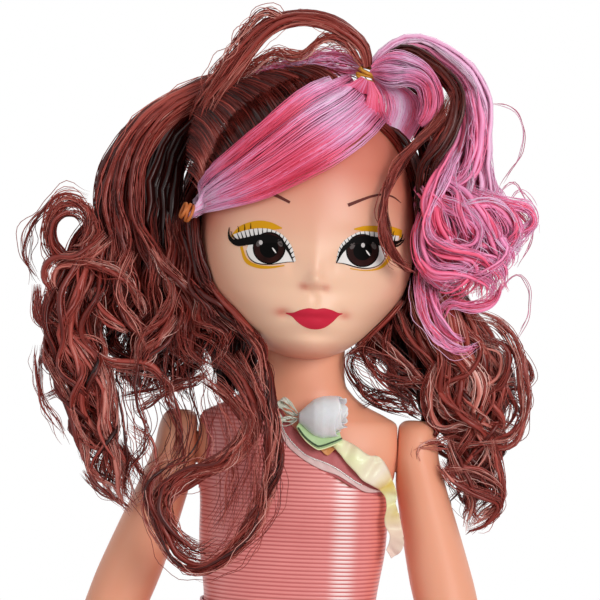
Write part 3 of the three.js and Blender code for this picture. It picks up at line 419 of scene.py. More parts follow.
for name, side, splay in [("left", 1, left_splay), ("right", -1, right_splay)]:
    lean = math.tan(math.radians(splay))
    pivot = Vector((side * shoulder_out, 0, shoulder_height))

    def along_arm(down, forward, out=0.0):
        return pivot + Vector((side * (arm_inset + max(0, down) * lean + out), -forward, -down))

    def arm_surface(u, v):
        down, wide, deep, forward = catmull(arm_rows, v)
        centre = along_arm(down * arm_length, forward * arm_length)
        c, s = math.cos(u * 2 * math.pi), math.sin(u * 2 * math.pi)
        x = max(c * wide * arm_radius * side,
                -(centre.x - pivot.x) * side + (0.05 if side > 0 else 0.3)) * side
        return (centre + Vector((x, s * deep * arm_radius, 0))) * MM

    form = woven(40, 60, arm_surface)
    bmesh.ops.holes_fill(form, edges=form.edges, sides=0)
    for place in (-1.5, -0.5, 0.5, 1.5):
        start = along_arm(arm_length * 0.95, arm_length * 0.08 + place * 3.5)
        long = 17 * (1 - 0.08 * place * place)
        knuckle = start + Vector((-side * 0.2, -place * 0.1, -6 - long * 0.35))
        tip = start + Vector((-side * 1.6, -place * 0.9, -6 - long))
        ball_chain(form, [start, knuckle, tip], [2.2, 2.1, 1.7])
    wrist = along_arm(arm_length * 0.84, arm_length * 0.07 + 3.5)
    ball_chain(form, [wrist, wrist + Vector((0, -5, -6)), wrist + Vector((0, -8, -13))], [2.6, 2.5, 1.9])
    bmesh.ops.recalc_face_normals(form, faces=form.faces)
    arm = fuse(show(f"{name}_arm_skin", form, skin_vinyl), 0.95, 6)
    form = bmesh.new()
    form.from_mesh(arm.data)
    for radius, inner, outer in [(5.6, -4.3, 2), (8, -7.3, -4.3)]:
        middle = Matrix.Translation((pivot + Vector((side * (inner + outer) / 2, 0, 0))) * MM)
        bmesh.ops.create_cone(form, cap_ends=True, segments=40, radius1=radius * MM, radius2=radius * MM,
                              depth=(outer - inner) * MM, matrix=middle @ along_x)
    arm.data = bpy.data.meshes.new(arm.name)
    form.to_mesh(arm.data)
    form.free()
    arm.data.materials.append(skin_vinyl)
    arm.data.shade_smooth()
    worn(arm, f"{name}_arm", "skin", f"{name}_arm")

# The legs are hollow hard vinyl with a round hip that turns in the torso, a soft knee and a flat foot.
leg_rows = [
    (-0.02, 0.8, 0.98, 0), (0.1, 0.82, 0.99, 0), (0.25, 0.8, 0.96, 0), (0.4, 0.72, 0.84, 0.02),
    (0.5, 0.66, 0.74, 0.04),
    (0.62, 0.7, 0.8, 0.1), (0.74, 0.62, 0.7, 0.12), (0.88, 0.42, 0.48, 0.1), (0.97, 0.42, 0.52, 0.08),
]
foot_rows = [(0, 0.5, 0.6), (0.1, 0.74, 0.95), (0.35, 0.8, 1), (0.62, 0.96, 0.78), (0.85, 0.92, 0.55),
             (1, 0.5, 0.34)]
leg_length, thigh = 191, 16.5


def leg_surface(side, grow=0.0):
    def place(u, v):
        down, wide, deep, back = catmull(leg_rows, v)
        knee, ankle = min(max(down / 0.5, 0), 1), min(max((down - 0.5) / 0.5, 0), 1)
        offset = 20 + (17 - 20) * knee + (15.5 - 17) * ankle
        c, s = math.cos(u * 2 * math.pi), math.sin(u * 2 * math.pi)
        x = side * offset + (wide * thigh + grow) * c
        x = max(x, 6.4) if side > 0 else min(x, -6.4)
        return Vector((x, back * thigh + (deep * thigh + grow) * s, hip_height - down * leg_length)) * MM
    return place


def foot_surface(side, grow, sole):
    def place(u, v):
        far, wide, tall = catmull(foot_rows, v)
        ends = 1 - 0.6 * max(0, 1 - min(v, 1 - v) / 0.06) ** 2
        c, s = squared(u, 2.4)
        y = 13 - far * 43 + (0.5 - far) * 2 * grow
        z = 3 + tall * 4.5 + s * (tall * 4.5 + grow + max(sole, 0)) * ends
        return Vector((side * 15.5 + c * (wide * 8.2 + grow) * ends, y, max(z, 3 - sole))) * MM
    return place


def grown(form, across, along, place):
    """Adds another closed skin to a form."""
    more = closed(woven(across, along, place))
    mesh = bpy.data.meshes.new("more")
    more.to_mesh(mesh)
    more.free()
    form.from_mesh(mesh)
    bpy.data.meshes.remove(mesh)


for name, side in [("left", 1), ("right", -1)]:
    form = bmesh.new()
    middle = Matrix.Translation(Vector((side * 18.5, 0, hip_height)) * MM) @ along_x
    bmesh.ops.create_cone(form, cap_ends=True, segments=64, radius1=19.9 * MM, radius2=19.9 * MM,
                          depth=24 * MM,
                          matrix=middle)
    bmesh.ops.bevel(form, geom=form.edges[:], offset=3.5 * MM, segments=4, profile=0.5, affect="EDGES",
                    material=-1)
    grown(form, 40, 60, leg_surface(side))
    grown(form, 32, 30, foot_surface(side, 0, 0))
    for toe in range(5):
        spot = Vector((side * (15.5 - 5.2 + toe * 2.6), -27.6 + abs(toe - 1) * 0.9, 5.2))
        bmesh.ops.create_uvsphere(form, u_segments=12, v_segments=8, radius=(2.1 - toe * 0.12) * MM,
                                  matrix=Matrix.Translation(spot * MM))
    limb = fuse(show(f"{name}_leg_skin", form, skin_vinyl), 1.08, 5)
    limb.data.shade_smooth()
    worn(limb, f"{name}_leg", "skin", f"{name}_leg")

# The shoes are glossy pink vinyl court shoes with a flat moulded sole.
shoe_vinyl = new_finish("shoe vinyl", "E86F92", "D2547A", roughness=0.22, amount=0.4, clouds=60, grain=700,
                        bump=0.03,
                        Coat_Weight=0.4, Coat_Roughness=0.1)
for name, side in [("left", 1), ("right", -1)]:
    shoe = show(f"{name}_court_shoe", closed(woven(48, 48, foot_surface(side, 1.6, 3))), shoe_vinyl)
    cut(shoe, show("foot room", closed(woven(40, 40, foot_surface(side, 0.3, 0.3)))))
    above = bmesh.new()
    tilted = Matrix.Translation((side * 0.0155, 0.012, 0.0305)) @ Matrix.Rotation(math.radians(12), 4, "X")
    bmesh.ops.create_cube(above, size=1, matrix=tilted @ Matrix.Diagonal((0.05, 0.09, 0.04, 1)))
    cut(shoe, show("above topline", above))
    shoe.data.shade_smooth()
    rim = shoe.modifiers.new("rim", "BEVEL")
    rim.width = 0.35 * MM
    rim.segments = 3
    finish_modifiers(shoe)
    worn(shoe, f"{name}_leg", "shoe_plastic", f"{name}_shoe")

# The head is soft rotocast vinyl: a broad egg with full cheeks, a button nose, pressed lips and a small chin.
head_centre = Vector((0, 0, 356))
head_turn = math.radians(5)
head_up, head_down = 55, 41
width_shares = [(-1, 0.89), (-0.72, 0.9), (-0.6, 0.94), (-0.43, 1), (0, 1), (0.5, 1.02), (1, 1)]
front_shares = [(-1, 2.3), (-0.97, 2.3), (-0.9, 1.7), (-0.8, 1.42), (-0.64, 1.18), (-0.4, 1.03), (0, 0.98),
                (0.5, 1), (1, 1)]
back_shares = [(-1, 0.8), (-0.75, 0.86), (-0.5, 0.94), (0, 1.02), (0.5, 1.04), (1, 1)]


def eased_table(table, size):
    """A table of shares made smooth, as places and values."""
    places = np.linspace(-1.2, 1.2, 481)
    values = np.interp(places, [p for p, _ in table], [v for _, v in table])
    window = np.hanning(33)
    padded = np.pad(values, 16, mode="edge")
    return places, np.convolve(padded, window / window.sum(), "valid") * size


head_width, head_front, head_back = (
    eased_table(width_shares, 37.5), eased_table(front_shares, 38), eased_table(back_shares, 40),
)


def head_reach(points):
    """How far points in the head's own millimetres lie out from its centre, as shares of its surface."""
    s = np.clip(points[..., 2] / np.where(points[..., 2] > 0, head_up, head_down), -1.1, 1.1)
    wide = np.interp(s, *head_width)
    deep = np.where(points[..., 1] < 0, np.interp(s, *head_front), np.interp(s, *head_back))
    return np.sqrt((points[..., 0] / wide) ** 2 + (points[..., 1] / deep) ** 2 + s**2)


turned_head = Matrix.Translation(head_centre) @ Matrix.Rotation(head_turn, 4, "Z")


def face_spot(px, py, depth=-37):
    """A place on the face, in the head's own millimetres, from where it shows."""
    return turned_head.inverted() @ (seen(px, py, depth) / MM)


# Raised and hollow places: pixel, half width, half height, and how far out, in millimetres
face_relief = [
    (315, 281, 2.9, 2.6, 3.1), (315, 272, 2.2, 4.6, 1.3), (315, 254, 2.8, 9, 0.5), (306, 285, 1.7, 1.6, 1.1),
    (324.5, 285, 1.7, 1.6, 1.1), (308.5, 290, 1.2, 0.7, -1.1), (322, 290, 1.2, 0.7, -1.1),
    (315, 298, 1.2, 3, -0.5),
    (314, 313, 9.5, 4.6, 1.4), (314, 312, 7.5, 1.7, 0.75), (314, 323, 6.5, 2.1, 0.85),
    (314, 317.5, 8.5, 0.8, -0.5),
    (286, 314, 2, 1.8, -0.9), (343, 314, 2, 1.8, -0.9), (315, 335, 5.5, 1.8, -0.8), (314, 347, 7, 4.4, 1.3),
    (247, 293, 10, 9.5, 0.8), (383, 294, 10, 9.5, 0.8), (269, 246, 8.2, 5.6, -0.5),
    (362, 248, 8.2, 5.6, -0.5),
    (269, 232, 8, 2.6, -0.35), (362, 234, 8, 2.6, -0.35), (293, 262, 2.2, 4, -0.8), (338, 263, 2.2, 4, -0.8),
]
relief_spots = [(face_spot(px, py), a, b, out) for px, py, a, b, out in face_relief]



def on_egg(co):
    """A place on the head's plain egg, in its own millimetres, from one on a unit ball."""
    x, y, s = co
    deep = np.interp(s, *head_front) if y < 0 else np.interp(s, *head_back)
    return Vector((np.interp(s, *head_width) * x, deep * y, s * (head_up if s > 0 else head_down)))


form = bmesh.new()
bmesh.ops.create_uvsphere(form, u_segments=200, v_segments=140, radius=1)
for vert in form.verts:
    y = vert.co.y
    spot = on_egg(vert.co)
    if y < 0:
        out = sum(
            rise * math.exp(-(((spot.x - c.x) / a) ** 2 + ((spot.z - c.z) / b) ** 2)) for c, a, b,
            rise in relief_spots
        )
        spot.y -= out * min(1, -y * 2)
    vert.co = turned_head @ spot * MM
socket = bmesh.new()
bmesh.ops.create_cone(socket, cap_ends=True, segments=64, radius1=16 * MM, radius2=16 * MM, depth=20 * MM,
                      matrix=Matrix.Translation(Vector((0, 0, 314)) * MM))
head_shape = BVHTree.FromBMesh(form)
face = show("head_skin", form)
cut(face, show("neck socket", socket))
face.data.shade_smooth()
worn(face, "head", "head_vinyl", "head_shell")

# The cheeks are sprayed pinker, and the face is a little darker round the eyes. Painted shade makes it darker
# and redder at its sides, under the chin, on the forehead below the fringe, at the nostrils and in the mouth
# corners. All of it comes from one attribute of the mesh.
blush_and_painted_shade = face.data.attributes.new("blush_and_painted_shade", "FLOAT", "POINT")
spots = np.zeros(len(face.data.vertices) * 3)
face.data.vertices.foreach_get("co", spots)
spots = spots.reshape(-1, 3) / MM
inside_turn = np.array(turned_head.inverted())
own = spots @ inside_turn[:3, :3].T + inside_turn[:3, 3]


def puff(x, z, a, b):
    return np.exp(-(((own[:, 0] - x) / a) ** 2 + ((own[:, 2] - z) / b) ** 2))


# Painted shade: darker and redder towards the sides, where the face turns from the light
sides = np.clip((np.abs(own[:, 0]) - 24) / 16, 0, 1) ** 1.5
cheeks = puff(-27, -20, 9, 9) + puff(27, -20, 9, 9)
# A pink tint on the nose tip, and a painted shadow in each nostril
nose = puff(0, -15.6, 2.2, 1.0) * 0.2 + puff(-3.7, -15.4, 1.5, 1.2) * 0.75 + puff(3.9, -15.4, 1.5, 1.2) * 0.6
# Painted shade in the corners of the mouth
mouth_corner_shade = puff(-10.4, -24.4, 2.3, 1.5) * 0.95 + puff(11, -24.6, 2.2, 1.4) * 0.8
# Painted shade under the chin
under = np.clip((-own[:, 2] - 33) / 8, 0, 1) * 0.9
# Painted shadow of the fringe: darker up the forehead
brow = np.clip((own[:, 2] + 2) / 26, 0, 1) * 0.95 + puff(0, 2, 9, 12) * 0.12
eyes_round = puff(-16, -2, 12, 9) * 0.12 + puff(16, -2, 12, 9) * 0.12
blush_and_painted_shade.data.foreach_set("value",
                       np.clip(sides * 0.9 + cheeks * 0.22 + nose + mouth_corner_shade + under + brow + eyes_round, 0, 1))
face_vinyl = new_finish(
    "face vinyl", "F4C6A8", "EDB494", roughness=0.4, amount=0.35, clouds=25, grain=1500, bump=0.03,
    Subsurface_Weight=0.12, Subsurface_Scale=0.004,
)
tree = face_vinyl.node_tree
blush_and_shade_mask = add(tree, "Attribute", attribute_name="blush_and_painted_shade")
# The colour of the blush and of the painted shade
blush_and_shade_tint = add(tree, "Mix", {7: colour("D97C66")}, data_type="RGBA")
tree.links.new(blush_and_shade_mask.outputs["Fac"], blush_and_shade_tint.inputs["Factor"])
tree.links.new(tree.nodes["mottle"].outputs["Colour"], blush_and_shade_tint.inputs[6])
tree.links.new(blush_and_shade_tint.outputs[2], tree.nodes["Principled BSDF"].inputs["Base Color"])
face.data.materials.clear()
face.data.materials.append(face_vinyl)


# Eyes, brows and lips are printed on the vinyl in thin layers of gloss ink, darkest last.
def on_head(px, py, lift=0.0, depth=0.0):
    """The point of the head that shows at a pixel, lifted off it; past the head's edge, at that depth."""
    target = seen(px, py, 0)
    way = (target - camera.location).normalized()
    spot, normal, _, _ = head_shape.ray_cast(camera.location, way)
    if spot is None:
        return seen(px, py, depth)
    return spot + normal * lift * MM


ink_colours = {
    "white": "EAE5E2", "black": "0E0B0B", "iris": "1F0E0D", "pupil": "040303", "ring": "060404",
    "grey": "5C5352",
    "reflection": "C9C3C2",
    "eyeshadow": "DFA01E", "brow": "6A3833", "lip": "C92B41", "lipshade": "A91E36",
}
inks = {}
for name, code in ink_colours.items():
    inks[name] = new_finish(f"{name} ink", code, code, roughness=0.42, amount=0.2, clouds=200, grain=3000,
                            bump=0.02,
                            Specular_IOR_Level=0.04)
inks["iris"].node_tree.nodes["mottle"].inputs["Shade"].default_value = colour("3B1B18")
inks["iris"].node_tree.nodes["mottle"].inputs["Amount"].default_value = 0.8
inks["lip"].node_tree.nodes["mottle"].inputs["Shade"].default_value = colour("DD3F58")
inks["eyeshadow"].node_tree.nodes["mottle"].inputs["Shade"].default_value = colour("C98410")


def printed(name, ink, top, bottom, layer, across=28, along=4):
    """A print between two edges drawn in pixels, left to right, laid on the head."""
    def place(u, v):
        spot = across_rows(bottom, top, u, v)
        return on_head(spot[0], spot[1], lift=0.05 + layer * 0.035)

    form = woven(across, along, place, weld=1e-6)
    towards = sum(f.normal.y for f in form.faces)
    if towards > 0:
        bmesh.ops.reverse_faces(form, faces=form.faces)
    return worn(show(name, form, inks[ink]), "head", "head_vinyl")


def oval(x, y, a, b, tilt=0.0):
    """The upper and lower edge of an oval."""
    edges = []
    for sign in (-1, 1):
        row = []
        for i in range(13):
            angle = math.pi * (1 - i / 12)
            dx, dy = a * math.cos(angle), sign * b * math.sin(angle)
            row.append((x + dx * math.cos(tilt) - dy * math.sin(tilt),
                        y + dx * math.sin(tilt) + dy * math.cos(tilt)))
        edges.append(row)
    return edges


def stroke(name, ink, line, widths, layer):
    """A brush stroke of changing width along a line of pixels."""
    line = catmull(line, np.linspace(0, 1, 25))
    widths = np.interp(np.linspace(0, 1, 25), np.linspace(0, 1, len(widths)), widths)
    way = np.gradient(line, axis=0)
    across = np.stack([way[:, 1], -way[:, 0]], 1) / np.linalg.norm(way, axis=1)[:, None]
    return printed(name, ink, line + across * widths[:, None] / 2, line - across * widths[:, None] / 2,
                   layer, 24, 2)


eyes = {
    "right": dict(
        shadow=([(231, 236), (240, 226), (256, 220.8), (270, 222), (282, 227.5)],
                [(231, 237), (245, 236), (258, 233), (270, 230.5), (282, 228.8)]),
        under=([(242.5, 246), (247, 258), (256, 264), (270, 266), (284, 265)],
               [(240, 247), (245, 262), (257, 268), (270, 268.6), (285, 266)]),
        band=([(233.5, 234.5), (245, 230.5), (258, 228.4), (272, 229.6), (284, 236), (292, 247), (296, 261)],
              [(236, 239), (247, 237.5), (259, 236), (271, 236.3), (282, 241), (289, 250), (294, 262)]),
        white=([(246.5, 250), (249.5, 243.5), (258, 238), (270, 237), (281, 240.5), (289, 250),
                (294, 261.5)], [(246.5, 250), (249.5, 257.5), (256, 262.5), (266, 264), (276, 263.5),
                                (285, 262), (294, 261.5)]),
        lid=([(229, 238), (236, 239.5), (246, 237.5), (258, 234.8), (270, 234.5), (281, 239), (288.5, 247.5),
              (294, 262)],
             [(231, 239.5), (237, 244), (246.5, 245), (257, 244), (268, 243), (279, 243.6), (287, 250.8),
              (293.6, 262.2)]),
        wings=[([(243, 243), (234, 241), (229.5, 235), (229.8, 227.5)], [4, 3, 2, 0.6]),
               ([(246, 243.5), (237, 244.5), (230.5, 240), (228.6, 235)], [4, 2.6, 1.6, 0.6]),
               ([(246, 242), (238, 240), (233, 236), (231.5, 231)], [3, 1.6, 1.0, 0.5])],
        iris=(269.3, 247.9, 16.4, 16), lashes=(17, 231, 294),
        spikes=[(239, 229, 238, 226), (245, 227, 244.4, 224), (251, 226, 251, 223)],
    ),
    "left": dict(
        shadow=([(354, 228.6), (364, 226), (378, 225.8), (391, 226.4), (402, 230)],
                [(354, 229.8), (364, 231.5), (378, 235), (391, 238), (401.5, 237.5)]),
        under=([(350, 268), (364, 270), (377, 268), (385, 261), (389, 252), (391, 246)],
               [(350, 269), (364, 271), (379, 269.5), (388, 263), (392, 254), (394, 246)]),
        band=([(336, 261), (339.5, 247), (347.5, 238), (360, 231.8), (374, 232), (387, 234.6), (399, 236)],
              [(337.5, 262), (342, 251), (350, 243), (361, 238), (374, 238), (386, 240.5), (398, 240.5)]),
        white=([(337, 262.5), (341.5, 252), (350, 243), (361, 239), (373, 240), (382, 245), (386, 253)],
               [(337, 262.5), (345, 263.5), (353, 266), (364, 268), (375, 266.5), (382.5, 261.5),
                (386, 253)]),
        lid=([(335.8, 263), (341, 249), (349, 241), (360, 236), (373, 236.4), (385, 239.5), (396, 241),
              (403, 239.5)],
             [(336.8, 263), (343, 252.8), (351, 246), (361, 244), (373, 244.6), (384, 246.2), (395, 245),
              (402, 241)]),
        wings=[([(385, 243.5), (394, 243.5), (400, 240), (402.5, 234)], [3.4, 2.4, 1.5, 0.5]),
               ([(388, 245), (396, 246), (401.5, 242.5), (404, 238.5)], [3, 2, 1.3, 0.5])],
        iris=(362.4, 250.5, 16.6, 16.6), lashes=(17, 338, 398), spikes=[(393, 233.5, 394, 230.8)],
    ),
}
for side, eye in eyes.items():
    printed(f"{side}_eyeshadow", "eyeshadow", *eye["shadow"], 0)
    printed(f"{side}_under_eye_line", "eyeshadow", *eye["under"], 0, 20, 2)
    printed(f"{side}_lash_band", "white", *eye["band"], 1)
    printed(f"{side}_eye_white", "white", *eye["white"], 1, 28, 8)
    edge = catmull(eye["white"][1], np.linspace(0, 1, 9))
    stroke(f"{side}_lower_lid_line", "ring", edge + np.array([0, 0.3]), [0.5, 1.1, 1.0, 0.8, 0.5], 2)
    x, y, a, b = eye["iris"]
    printed(f"{side}_iris_ring", "ring", *oval(x, y, a, b), 2, 32, 10)
    printed(f"{side}_iris", "iris", *oval(x, y, a - 1.3, b - 1.3), 3, 32, 10)
    printed(f"{side}_pupil", "pupil", *oval(x, y + 0.5, 9.3, 9.3), 4, 24, 8)
    printed(f"{side}_glint_left", "grey", *oval(x - 10.2, y - 4.6, 2.3, 3.6, 0.5), 5, 12, 3)
    printed(f"{side}_glint_right", "grey", *oval(x + 11, y - 4.8, 2.2, 3.9, -0.45), 5, 12, 3)
    printed(f"{side}_streak", "white", *oval(x + 5.2, y + 2.4, 3.4, 0.75, 0.95), 6, 12, 3)
    highlight = (x - 8.2, y - 5.4) if side == "right" else (x + 0.3, y - 5.3)
    printed(f"{side}_highlight", "reflection", *oval(*highlight, 1.9, 2.3), 6, 12, 3)
    printed(f"{side}_lid", "black", *eye["lid"], 5, 36, 4)
    for i, (line, widths) in enumerate(eye["wings"]):
        stroke(f"{side}_wing_{i}", "black", line, widths, 6)
    count, first, last = eye["lashes"]
    upper, lower = (catmull(row, np.linspace(0, 1, count + 2)[1:-1]) for row in eye["band"])
    for i in range(count):
        lean = (upper[i] - lower[i]) * 0.06
        line = [lower[i] - lean, (lower[i] + upper[i]) / 2, upper[i] + lean]
        stroke(f"{side}_lash_{i}", "black", line, [1.5, 0.9, 0.4], 3)
    for i, (x0, y0, x1, y1) in enumerate(eye["spikes"]):
        stroke(f"{side}_spike_{i}", "black", [(x0, y0 + 3), (x0, y0), (x1, y1)], [1.1, 0.8, 0.3], 3)

stroke("right_brow", "brow", [(252, 190), (262, 190.5), (275, 195), (290, 202.5)], [1.0, 2.4, 3.4, 2.6], 1)
stroke("left_brow", "brow", [(348, 205.3), (360, 200.5), (372, 196.3), (383, 194.7), (393, 197), (401, 203)],
       [3.6, 2.9, 2.4, 2, 1.6, 0.6], 1)
printed("lips", "lip",
        [(286, 312.5), (293, 312.5), (301, 309.6), (309, 308), (316.5, 309), (324, 308), (332, 310),
         (338, 312.6), (342.5, 313.2)],
        [(286, 313.5), (292, 316.5), (298, 322.5), (306, 327.5), (315, 329.3), (324, 327.8), (332, 322.5),
         (338.5, 316), (342.5, 314)], 1, 40, 14)



# The bodice is fine ribbed satin jersey, cut to the right shoulder only, with a bound armhole. It closes at
# the back with two short woven tapes, sewn along the opening.
def satin_finish(name, base, groove_shade, pitch, gloss=0.34, painted_sheen_bands=()):
    """Satin with horizontal ribs so many millimetres apart, with painted shade in the grooves between them,
    and soft upright bands of painted sheen on the rib tops.
    """
    material = new_finish(name, base, groove_shade, roughness=gloss, clouds=60, grain=2600, bump=0.5,
                          Sheen_Weight=0.15, Sheen_Roughness=0.4, Specular_IOR_Level=0.6)
    tree = material.node_tree
    link = tree.links.new
    place = add(tree, "TexCoord")
    ribs = {"Scale": 2 * math.pi / (20 * pitch * MM), "Distortion": 0.25, "Detail Scale": 0.4}
    wave = add(tree, "TexWave", ribs, bands_direction="Z")
    rib = add(tree, "MapRange", {"From Min": 0.12, "From Max": 0.62})
    link(place.outputs["Object"], wave.inputs["Vector"])
    link(wave.outputs["Fac"], rib.inputs["Value"])
    # Painted shade: the colour is darker in the grooves between the ribs
    ribbed = add(tree, "Mix", {6: colour(groove_shade)}, data_type="RGBA")
    link(rib.outputs["Result"], ribbed.inputs["Factor"])
    link(tree.nodes["mottle"].outputs["Colour"], ribbed.inputs[7])
    last = ribbed.outputs[2]
    apart = add(tree, "SeparateXYZ")
    link(place.outputs["Object"], apart.inputs[0])
    # Painted sheen: each band lightens the rib tops near an upright line
    for x, half, amount, tint in painted_sheen_bands:
        far = add(tree, "Math", {1: x * MM}, operation="SUBTRACT")
        fade = {"From Min": half * MM, "From Max": 0, "To Min": 0, "To Max": amount}
        near = add(tree, "MapRange", fade, interpolation_type="SMOOTHERSTEP")
        both = add(tree, "Math", operation="MULTIPLY")
        mix = add(tree, "Mix", {7: colour(tint)}, data_type="RGBA")
        size = add(tree, "Math", operation="ABSOLUTE")
        link(apart.outputs["X"], far.inputs[0])
        link(far.outputs[0], size.inputs[0])
        link(size.outputs[0], near.inputs["Value"])
        link(near.outputs["Result"], both.inputs[0])
        link(rib.outputs["Result"], both.inputs[1])
        link(both.outputs[0], mix.inputs["Factor"])
        link(last, mix.inputs[6])
        last = mix.outputs[2]
    link(last, tree.nodes["Principled BSDF"].inputs["Base Color"])
    height = add(tree, "Math", {1: 0.12}, operation="MULTIPLY_ADD")
    link(tree.nodes["mottle"].outputs["Height"], height.inputs[0])
    link(wave.outputs["Fac"], height.inputs[2])
    link(height.outputs[0], tree.nodes["relief"].inputs["Height"])
    tree.nodes["relief"].inputs["Distance"].default_value = 0.22 * MM
    return material


# The bodice has a painted highlight band at the front and fainter painted sheen towards both sides
ribbed_satin = satin_finish(
    "ribbed satin", "F29490", "C8605E", 1.4, 0.36,
    painted_sheen_bands=[(17.5, 6.5, 0.9, "FFE6E4"), (-27, 8, 0.35, "F3B4B4"), (30, 7, 0.5, "F58A78")])
torso_table = catmull(torso_rows, np.linspace(0, 1, 600))
neckline = [(-16, 309), (-12.6, 308.4), (-9.8, 302.9), (-7.35, 293), (-4.9, 287.5), (1.05, 282.8),
            (9.1, 278.3), (18.2, 273),
            (30.45, 269.5), (38.5, 267.7)]


def torso_sizes(z):
    """The torso's half width, half depth and squareness at a height."""
    return [np.interp(z - hip_height, torso_table[:, 2], torso_table[:, i]) for i in (0, 1, 3)]


def torso_point(turn, z, out=0.0):
    """A point so many millimetres off the torso, at a share of a turn and a height, flat beside the arms."""
    wide, deep, square = torso_sizes(z)
    c, s = squared(turn, square)
    return Vector((max(-34.4 - out, min(34.4 + out, c * (wide + out))), s * (deep + out), z)) * MM


def dress_top(turn, drop=0.0):
    """How high the cloth reaches there: where it meets the neckline."""
    low, high = 226, 309
    for _ in range(20):
        middle = (low + high) / 2
        x = torso_point(turn, middle).x / MM
        if middle < np.interp(x, *zip(*neckline)) - drop:
            low = middle
        else:
            high = middle
    return low


def cloth_spot(px, py, out=1.0):
    """The point that shows at a pixel, on the front of the torso and so many millimetres out, in metres."""
    depth = -15.0
    for _ in range(6):
        spot = seen(px, py, depth) / MM
        wide, deep, square = torso_sizes(spot.z)
        near = min(abs(spot.x) / (wide + out), 0.985)
        depth = -(deep + out) * (1 - near**square) ** (1 / square)
    return seen(px, py, depth)


def cloth(name, form, material, thickness):
    """A piece of cloth so many millimetres thick, and its area in square metres before it has a thickness."""
    area = sum(f.calc_area() for f in form.faces)
    return thicken(show(name, form, material), thickness * MM), area


turns = np.linspace(0.266, 1.234, 400)
tops = np.array([dress_top(t) for t in turns])
waist = 227.8


def bodice_point(u, v):
    turn = 0.266 + 0.968 * u
    return torso_point(turn, waist + (np.interp(turn, turns, tops) - waist) * v, 0.25)


form = woven(180, 48, bodice_point)
middles = [(f, f.calc_center_median()) for f in form.faces]
hole = [f for f, middle in middles if middle.x < -0.02 and math.hypot(middle.y, middle.z - 0.283) < 0.0122]
bmesh.ops.delete(form, geom=hole, context="FACES")
bodice, area = cloth("dress_bodice_cloth", form, ribbed_satin, 0.5)
worn(bodice, "torso", "satin", "dress_bodice")


def tube(name, points, radius, material, looped=False):
    """A round cord or stitch line through points in metres, as a mesh."""
    line = bpy.data.curves.new(name, "CURVE")
    line.dimensions = "3D"
    line.bevel_depth = radius * MM
    line.bevel_resolution = 2
    line.use_fill_caps = True
    path = line.splines.new("POLY")
    path.points.add(len(points) - 1)
    path.use_cyclic_u = looped
    for spot, here in zip(path.points, points):
        spot.co = (*here, 1)
    drawn = bpy.data.objects.new(name, line)
    scene.collection.objects.link(drawn)
    mesh = bpy.data.meshes.new_from_object(drawn)
    bpy.data.objects.remove(drawn)
    return as_piece(name, mesh, material)


rose_thread = new_finish("rose thread", "D9696C", "B04A50", roughness=0.5, amount=0.5, clouds=900,
                         grain=4000, bump=0.4)
for name, radius, size in [("armhole_binding", 12.9, 0.42), ("armhole_stitches", 13.9, 0.16)]:
    ring = []
    for i in range(72):
        y, z = radius * math.cos(i * math.pi / 36), shoulder_height + radius * math.sin(i * math.pi / 36)
        wide, deep, square = torso_sizes(z)
        x = (wide + 0.8) * (1 - min(abs(y) / (deep + 0.8), 1) ** square) ** (1 / square)
        wobble = 0.3 * (-1) ** i if size < 0.2 else 0
        ring.append(Vector((-min(x, 34.9), y, z + wobble)) * MM)
    worn(tube(name, ring, size, rose_thread, looped=True), "torso", "satin")

white_tape = new_finish("woven tape", "F1EEE8", "DDD6CC", roughness=0.75, amount=0.4, clouds=300, grain=2600,
                        bump=0.5)
for name, half, out, low in [("loop", 3.2, 0.12, 228.4), ("hook", 4, 0.85, 233)]:
    def tape_point(u, v):
        x = (u - 0.5) * 2 * half
        high = np.interp(x, *zip(*neckline)) - 5.5
        z = low + (high - low) * v
        wide, deep, square = torso_sizes(z)
        return Vector((x, (deep + out) * (1 - (abs(x) / (wide + out)) ** square) ** (1 / square), z)) * MM
    form = woven(8, 60, tape_point)
    tape, area = cloth(f"closure_{name}_cloth", form, white_tape, 0.45)
    worn(tape, "torso", "white_cloth", f"closure_{name}_tape")

# A band of sheer organza edges the neckline, folded over a silver thread. A lining shows above it, under the
# rose, coloured dark as a painted shadow of the rose.
sheer = new_finish("sheer band", "F0CFCB", "E3A9A8", roughness=0.4, amount=0.6, clouds=160, grain=3200,
                   bump=0.4,
                   Sheen_Weight=0.3, Alpha=0.82)
# Painted shadow: the lining's dark colour stands for the rose's shadow, and where it reaches below the band
# it shows as a dark shadow line
lining_painted_shadow = new_finish("band lining", "C05F60", "9C4248", roughness=0.5, amount=0.5, clouds=120, grain=3000,
                    bump=0.4)
silver_thread = new_finish("silver thread", "EFE9E6", "B9A9A8", roughness=0.25, amount=0.8, clouds=1500,
                           grain=4000, bump=0.5,
                           Metallic=0.4)
ribs_end = [(264, 392), (272, 408), (279.5, 428), (286.3, 443), (297, 453.5), (310.8, 463.1), (324, 469.5),
            (337.6, 474.3),
            (352.1, 483.2), (366, 491), (384.5, 490.5)]
thread_line = [(266, 389), (274, 402), (280, 420), (287, 436), (302, 452), (312, 458), (322, 461.5),
               (334, 467), (346, 475), (358, 483), (370, 488)]
lining_end = [(268, 385), (276, 397), (283, 412), (292, 426), (304, 436), (318, 445), (331, 448), (342, 455),
              (354, 468), (369, 483),
              (384, 489)]
